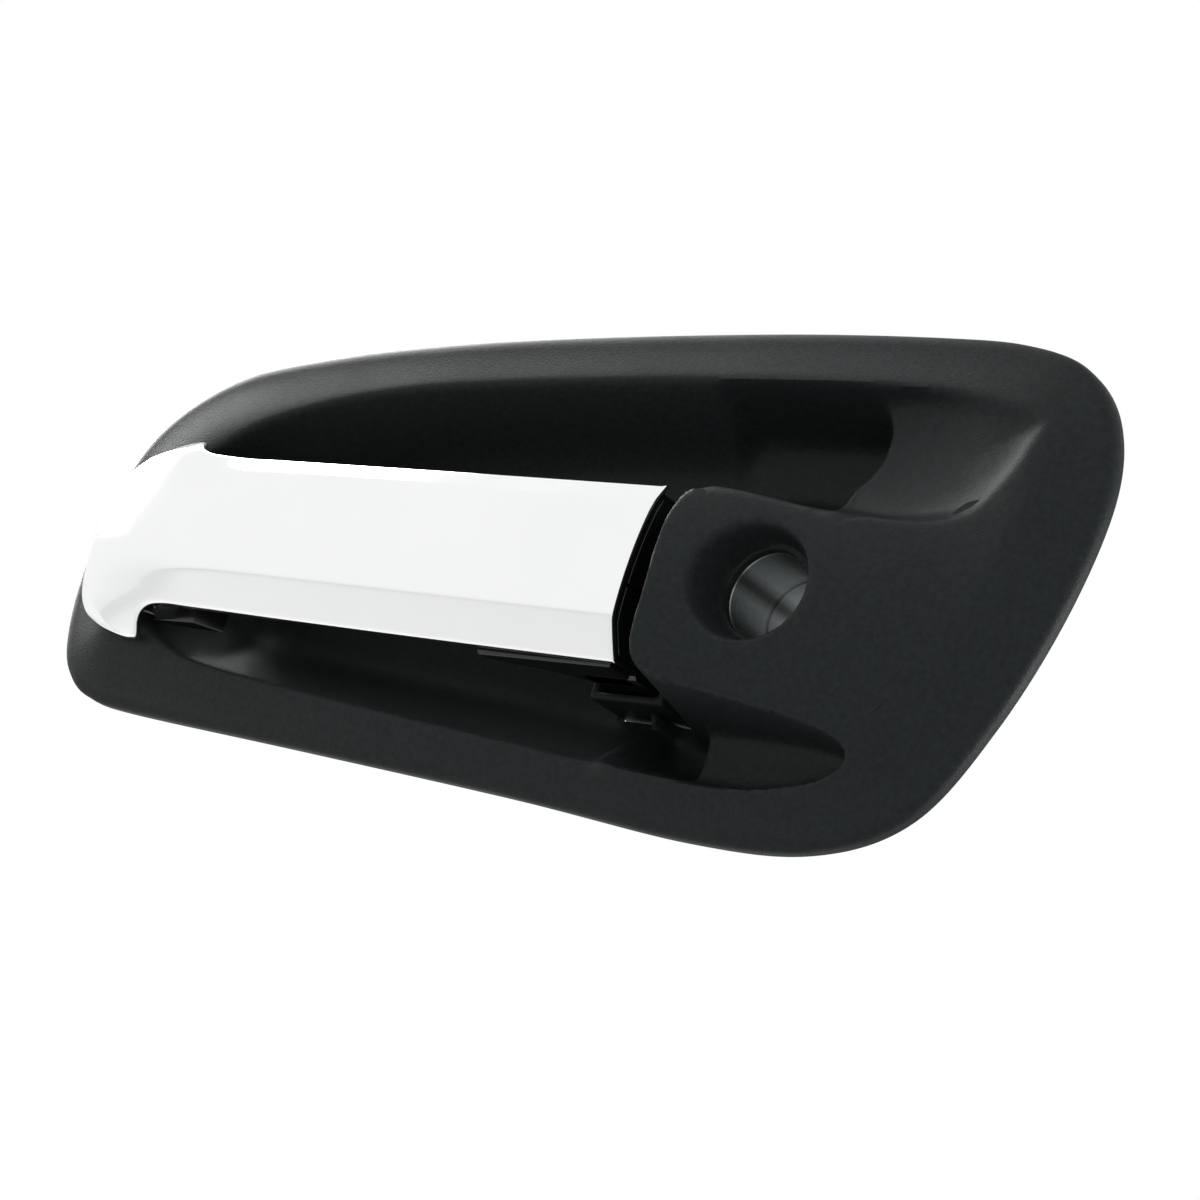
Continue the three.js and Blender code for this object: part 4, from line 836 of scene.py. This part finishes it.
class HANDLE_OT_grip_core(bpy.types.Operator):
    """Builds the black core of the grip: the bar behind the cover, the hinge arm and the gusset"""

    bl_idname = "handle.grip_core"
    bl_label = "Grip Core"

    def execute(self, context):
        grip = context.scene.handle_grip
        wall = grip.cover_wall
        base_end = GRIP_END_X - 3
        xs = spread(-176, [(-172, 8), (-150, 16), (-40, 30), (base_end, 10)])
        turn = spread(0, [(1, 48)])
        vs = 0.5 - 0.5 * np.cos(np.pi * turn)
        share = (GRIP_END_X - xs) / TAPER_LENGTH
        low = mix(BAR_LOW, FAR_LOW, share) + CORE_INSET
        high = mix(BAR_HIGH, FAR_HIGH, share) - CORE_INSET
        z = low + (high - low) * vs[:, None]
        x = np.broadcast_to(xs[None], z.shape)

        def front(px, pz):
            return cover_surface(px, pz, wall) + wall + 0.7

        def back(px, pz):
            across = np.abs(pz - 1) / 19
            end = 1.6 * smooth(-171, -176, px)
            return np.maximum(front(px, pz) + 3, -7.5 - 5.5 * across**3 - end)

        keep = np.ones((len(vs) // 2, len(xs) // 2), bool)
        bar = shell_points((x, z), front, back), shell_faces(*x.shape, keep)
        joint = next(j for j in frame["joints"] if j["name"] == "grip_hinge")
        hx, hy = (value / MM for value in joint["pos_m"][:2])
        arm = curve([(-168, -17), (-186, -13.2), (-199, -7.6), (hx - 3, hy - 4.5), (hx - 3, hy + 3.5),
                     (hx + 7, hy + 2), (-191, -1), (-181, -6.5), (-168, -8.2)], True, 1)
        eye = [(4.7, -12.6), (5.1, -13), (6, -13), (6.4, -12.6), (6.4, 3.6), (6, 4), (5.1, 4), (4.7, 3.6)]
        rib = [(-185, -8.9), (-170, -9.8), (-165.2, -3.4), (-180, -5.2), (-185, -8)]
        gusset = [(-72, -14.4), (-72, -11), (-56, -6.5), (-49, -2.4), (-45.5, -0.6), (base_end, -0.6),
                  (base_end, -14.4)]
        shapes = [bar, rounded_plate(arm, -12, 3, 0.8, "Z"), lathe(eye, "Z", (hx, hy, 0), 48),
                  rounded_plate(gusset, -21.8, -6, 0.9, "Z"), rounded_plate(rib, -19.6, -11.5, 0.4, "Z")]
        points, faces = joined(shapes)
        sharpen(make_piece("grip_core", points, faces, "gloss_black", GRIP, ("grip_base",)), 40)
        return {"FINISHED"}


class HANDLE_OT_grip_end(bpy.types.Operator):
    """Builds the end cap of the grip with its two raised panels"""

    bl_idname = "handle.grip_end"
    bl_label = "Grip End"

    def execute(self, context):
        grip = context.scene.handle_grip
        low, high = BAR_LOW + 0.9, BAR_HIGH - 1.6
        z = np.linspace(low, high, 15)
        face = cover_surface(np.full(15, GRIP_END_X), z, grip.cover_wall) + grip.cover_wall + 0.5
        rear = [(-8.6, high), (-7.4, high - 5), (-7.4, low + 3), (-9, low)]
        outline = np.vstack([np.stack([face, z], 1), rear])
        left, right = (corner[0] for corner in box_mm("grip_end_cap"))
        cap = rounded_plate(outline, left, right - 0.5, 0.3, "X")
        panels = []
        for bottom, top in ((low + 1.5, -4.2), (-3.4, high - 1.5)):
            zs = np.linspace(bottom, top, 8)
            edge = cover_surface(np.full(8, GRIP_END_X), zs, grip.cover_wall) + grip.cover_wall + 1.8
            panel = np.vstack([np.stack([edge, zs], 1), [(-9.4, top), (-9.4, bottom)]])
            panels.append(rounded_plate(panel, right - 1.2, right, 0.35, "X"))
        points, faces = joined([cap, *panels])
        sharpen(make_piece("grip_end_plate", points, faces, "gloss_black", GRIP, ("grip_end_cap",)), 40)
        return {"FINISHED"}


# ------------ guide, barrel and springs
GUIDE_POINTS = 48  # points round the guide


class HANDLE_OT_guide(bpy.types.Operator):
    """Builds the square guide that the claw slides through"""

    bl_idname = "handle.guide"
    bl_label = "Claw Guide"

    def execute(self, context):
        low, high = box_mm("grip_guide")
        centre = (low + high) / 2
        foot = (high - low) / 2

        def ring(inset, corner):
            """Rounded rectangle: the half sides less the corner, plus the corner times cos and sin."""
            half = np.array([foot[0], foot[2]]) - inset
            turn = np.linspace(0, 2 * np.pi, GUIDE_POINTS, endpoint=False) + np.pi / GUIDE_POINTS
            way = np.stack([np.cos(turn), np.sin(turn)], 1)
            return np.array([centre[0], centre[2]]) + np.sign(way) * (half - corner) + way * corner

        rings = [(1.1, 0.4, 20.8), (0.3, 2.0, 20.8), (0, 2.0, 21.1), (0, 2.0, 21.7), (0.3, 2.0, 22),
                 (3.0, 0.6, 22), (3.1, 0.6, 21.8), (3.1, 0.6, 2.8), (2.9, 0.8, 2.2), (2.4, 1.0, 2.0),
                 (1.8, 0.5, 2.0), (1.3, 0.4, 2.3), (1.1, 0.4, 3.0)]
        grid = []
        for inset, corner, depth in rings:
            plan = ring(inset, corner)
            grid.append(np.stack([plan[:, 0], np.full(GUIDE_POINTS, float(depth)), plan[:, 1]], 1))
        points = np.concatenate(grid)
        faces = [ring_faces(len(rings), GUIDE_POINTS), closing_faces(len(rings), GUIDE_POINTS)]
        piece = make_piece("guide_tower", points, faces, "bezel_plastic", ROOT, ("grip_guide",))
        sharpen(piece, 45)
        return {"FINISHED"}


class HANDLE_OT_lock_barrel(bpy.types.Operator):
    """Builds the turned lock barrel with its groove and chamfers"""

    bl_idname = "handle.lock_barrel"
    bl_label = "Lock Barrel"

    def execute(self, context):
        (left, front, _), (right, back, _) = box_mm("lock_sleeve")
        outer = (right - left) / 2
        bore, groove, seat = 10.5, 11.6, 29.65
        profile = [(bore, front + 0.6), (bore + 0.5, front), (outer - 0.5, front), (outer, front + 0.5),
                   (outer, seat), (groove, seat + 0.05), (groove, seat + 1.9), (outer, seat + 1.95),
                   (outer, back - 0.6), (outer - 0.6, back), (bore + 0.5, back), (bore, back - 0.5),
                   (bore, back - 12), (bore + 0.35, back - 12.3), (bore + 0.35, back - 14),
                   (bore, back - 14.3), (bore, 9), (bore + 0.3, 8.7), (bore + 0.3, 7.9), (bore, 7.6)]
        points, faces = lathe(profile, "Y", (0, 0, 0), 128)
        sharpen(make_piece("lock_barrel", points, faces, "barrel_metal", ROOT, ("lock_sleeve",)), 30)
        return {"FINISHED"}


class HANDLE_OT_springs(bpy.types.Operator):
    """Winds the grip's return spring and the bellcrank's spring"""

    bl_idname = "handle.springs"
    bl_label = "Springs"

    def execute(self, context):
        joints = {joint["name"]: joint for joint in frame["joints"]}
        hinge = np.array(joints["grip_hinge"]["pos_m"]) / MM
        crank = np.array(joints["bellcrank_hinge"]["pos_m"]) / MM
        self.wind("grip_return_coil", "grip_spring", 4.7, 4, (12, -4.7), (-13, -5.2), 0.7, [0, 1, 2], hinge)
        self.wind("bellcrank_coil", "bellcrank_spring", 6.1, 2, (-6.4, -7), (5, -9), 0.6, [1, 2, 0], crank)
        return {"FINISHED"}

    @staticmethod
    def wind(name, node, radius, turns, first, last, wire, axes, centre):
        """Helix of the radius, with a straight leg to the first point before it and to the last after it."""
        low, high = box_mm(node)
        start, stop = low[axes[2]] + wire, high[axes[2]] - wire
        share = np.linspace(0, 1, turns * 40 + 1)
        angle = -np.pi / 2 + 2 * np.pi * turns * share
        coil = np.stack([radius * np.cos(angle), radius * np.sin(angle), mix(start, stop, share)], -1)
        path = np.zeros((len(coil) + 2, 3))
        path[:, axes] = np.vstack([(*first, start), coil, (*last, stop)])
        path[:, axes[:2]] += centre[axes[:2]]
        points, faces = tube(path, wire, 14)
        make_piece(name, points, faces, "spring_steel", ROOT, (node,))


# ------------ studio
class HANDLE_OT_studio(bpy.types.Operator):
    """Sets the floor, the soft lights and the camera"""

    bl_idname = "handle.studio"
    bl_label = "Studio"

    def execute(self, context):
        stage = context.scene.handle_stage
        corners = [(x, y, -stage.floor_drop) for x, y in ((-3, -3), (3, -3), (3, 3), (-3, 3))]
        mesh = bpy.data.meshes.new("studio_floor")
        mesh.from_pydata(corners, [], [(0, 1, 2, 3)])
        floor = bpy.data.objects.new("studio_floor", mesh)
        context.scene.collection.objects.link(floor)
        look = Finish("studio_floor", (0.08, 0.08, 0.08), 0.6)
        look.vary_roughness(look.noise(6, 2.0), 0.05)
        look.shader.inputs["Emission Color"].default_value = (1, 1, 1, 1)
        look.shader.inputs["Emission Strength"].default_value = 0.62
        mesh.materials.append(look.material)
        world = bpy.data.worlds.new("studio_world")
        world.use_nodes = True
        self.fill_world(world.node_tree, stage.world_light)
        context.scene.world = world
        context.scene.view_settings.view_transform = "Standard"
        self.light("key_light", (-0.5, -1.1, 1.3), 1.2, 8, False)
        self.light("hinge_end_light", (-1.1, 0.17, 0.6), 0.8, 34, True)
        self.light("rim_light", (0.9, 0.45, -0.25), 0.5, 14, True)
        self.place_camera(context, stage)
        return {"FINISHED"}

    @staticmethod
    def fill_world(tree, strength):
        """White backdrop, and soft light that is full from above and the front and falls off below."""
        background = tree.nodes["Background"]
        background.inputs["Strength"].default_value = strength
        way = tree.nodes.new("ShaderNodeTexCoord")
        split = tree.nodes.new("ShaderNodeSeparateXYZ")
        tree.links.new(way.outputs["Generated"], split.inputs["Vector"])
        fall = tree.nodes.new("ShaderNodeMapRange")
        fall.interpolation_type = "SMOOTHSTEP"
        for name, number in (("From Min", -0.6), ("From Max", 0.15), ("To Min", 0.6), ("To Max", 1.0)):
            fall.inputs[name].default_value = number
        tree.links.new(split.outputs["Z"], fall.inputs["Value"])
        seen = tree.nodes.new("ShaderNodeLightPath")
        pick = tree.nodes.new("ShaderNodeMix")
        tree.links.new(seen.outputs["Is Camera Ray"], pick.inputs[0])
        tree.links.new(fall.outputs["Result"], pick.inputs[2])
        pick.inputs[3].default_value = 1.0
        tree.links.new(pick.outputs[0], background.inputs["Color"])

    @staticmethod
    def light(name, place, size, power, mirrored):
        """Square area light that faces the middle of the handle; mirrored lights show in the chrome."""
        data = bpy.data.lights.new(name, "AREA")
        data.size = size
        data.energy = power
        lamp = bpy.data.objects.new(name, data)
        lamp.location = place
        lamp.visible_glossy = mirrored
        aim = Vector((-0.07, 0, 0.01)) - lamp.location
        lamp.rotation_euler = aim.to_track_quat("-Z", "Y").to_euler()
        bpy.context.scene.collection.objects.link(lamp)

    @staticmethod
    def place_camera(context, stage):
        """Camera low and to the right of the lock end, rolled, with its axes given as unit vectors."""
        right = Vector((0.7919, 0.5463, 0.2728)).normalized()
        back = Vector((0.6071, -0.7526, -0.2552)).normalized()
        up = back.cross(right).normalized()
        right = up.cross(back)
        data = bpy.data.cameras.new("main_camera")
        data.sensor_width = 36
        data.lens = stage.lens
        data.clip_start, data.clip_end = 0.01, 20
        camera = bpy.data.objects.new("main_camera", data)
        turn = Matrix((right, up, back)).transposed()
        camera.matrix_world = Matrix.Translation((0.3733, -0.5281, -0.1803)) @ turn.to_4x4()
        context.scene.collection.objects.link(camera)
        context.scene.camera = camera


# ------------ add-on
SETTINGS = {"handle_bezel": HandleBezelSettings, "handle_grip": HandleGripSettings,
            "handle_stage": HandleStageSettings}
STEPS = (HANDLE_OT_studio, HANDLE_OT_finishes, HANDLE_OT_bezel, HANDLE_OT_bezel_bosses, HANDLE_OT_grip_cover,
         HANDLE_OT_grip_core, HANDLE_OT_grip_end, HANDLE_OT_guide, HANDLE_OT_lock_barrel, HANDLE_OT_springs)


class HANDLE_PT_sidebar(bpy.types.Panel):
    """Lists the pieces in the order they are built"""

    bl_idname = "HANDLE_PT_sidebar"
    bl_label = "Pull Door Handle"
    bl_space_type = "VIEW_3D"
    bl_region_type = "UI"
    bl_category = "Door Handle"

    def draw(self, context):
        for name in SETTINGS:
            settings = getattr(context.scene, name)
            for key in settings.bl_rna.properties.keys():
                if key not in ("rna_type", "name"):
                    self.layout.prop(settings, key)
        for step in STEPS:
            self.layout.operator(step.bl_idname)


def register():
    for settings in SETTINGS.values():
        bpy.utils.register_class(settings)
    for name, settings in SETTINGS.items():
        setattr(bpy.types.Scene, name, bpy.props.PointerProperty(type=settings))
    for step in STEPS:
        bpy.utils.register_class(step)
    bpy.utils.register_class(HANDLE_PT_sidebar)


def unregister():
    bpy.utils.unregister_class(HANDLE_PT_sidebar)
    for step in reversed(STEPS):
        bpy.utils.unregister_class(step)
    for name in SETTINGS:
        delattr(bpy.types.Scene, name)
    for settings in reversed(list(SETTINGS.values())):
        bpy.utils.unregister_class(settings)


def main():
    register()
    for step in STEPS:
        category, name = step.bl_idname.split(".")
        getattr(getattr(bpy.ops, category), name)()


if __name__ == "__main__":
    main()
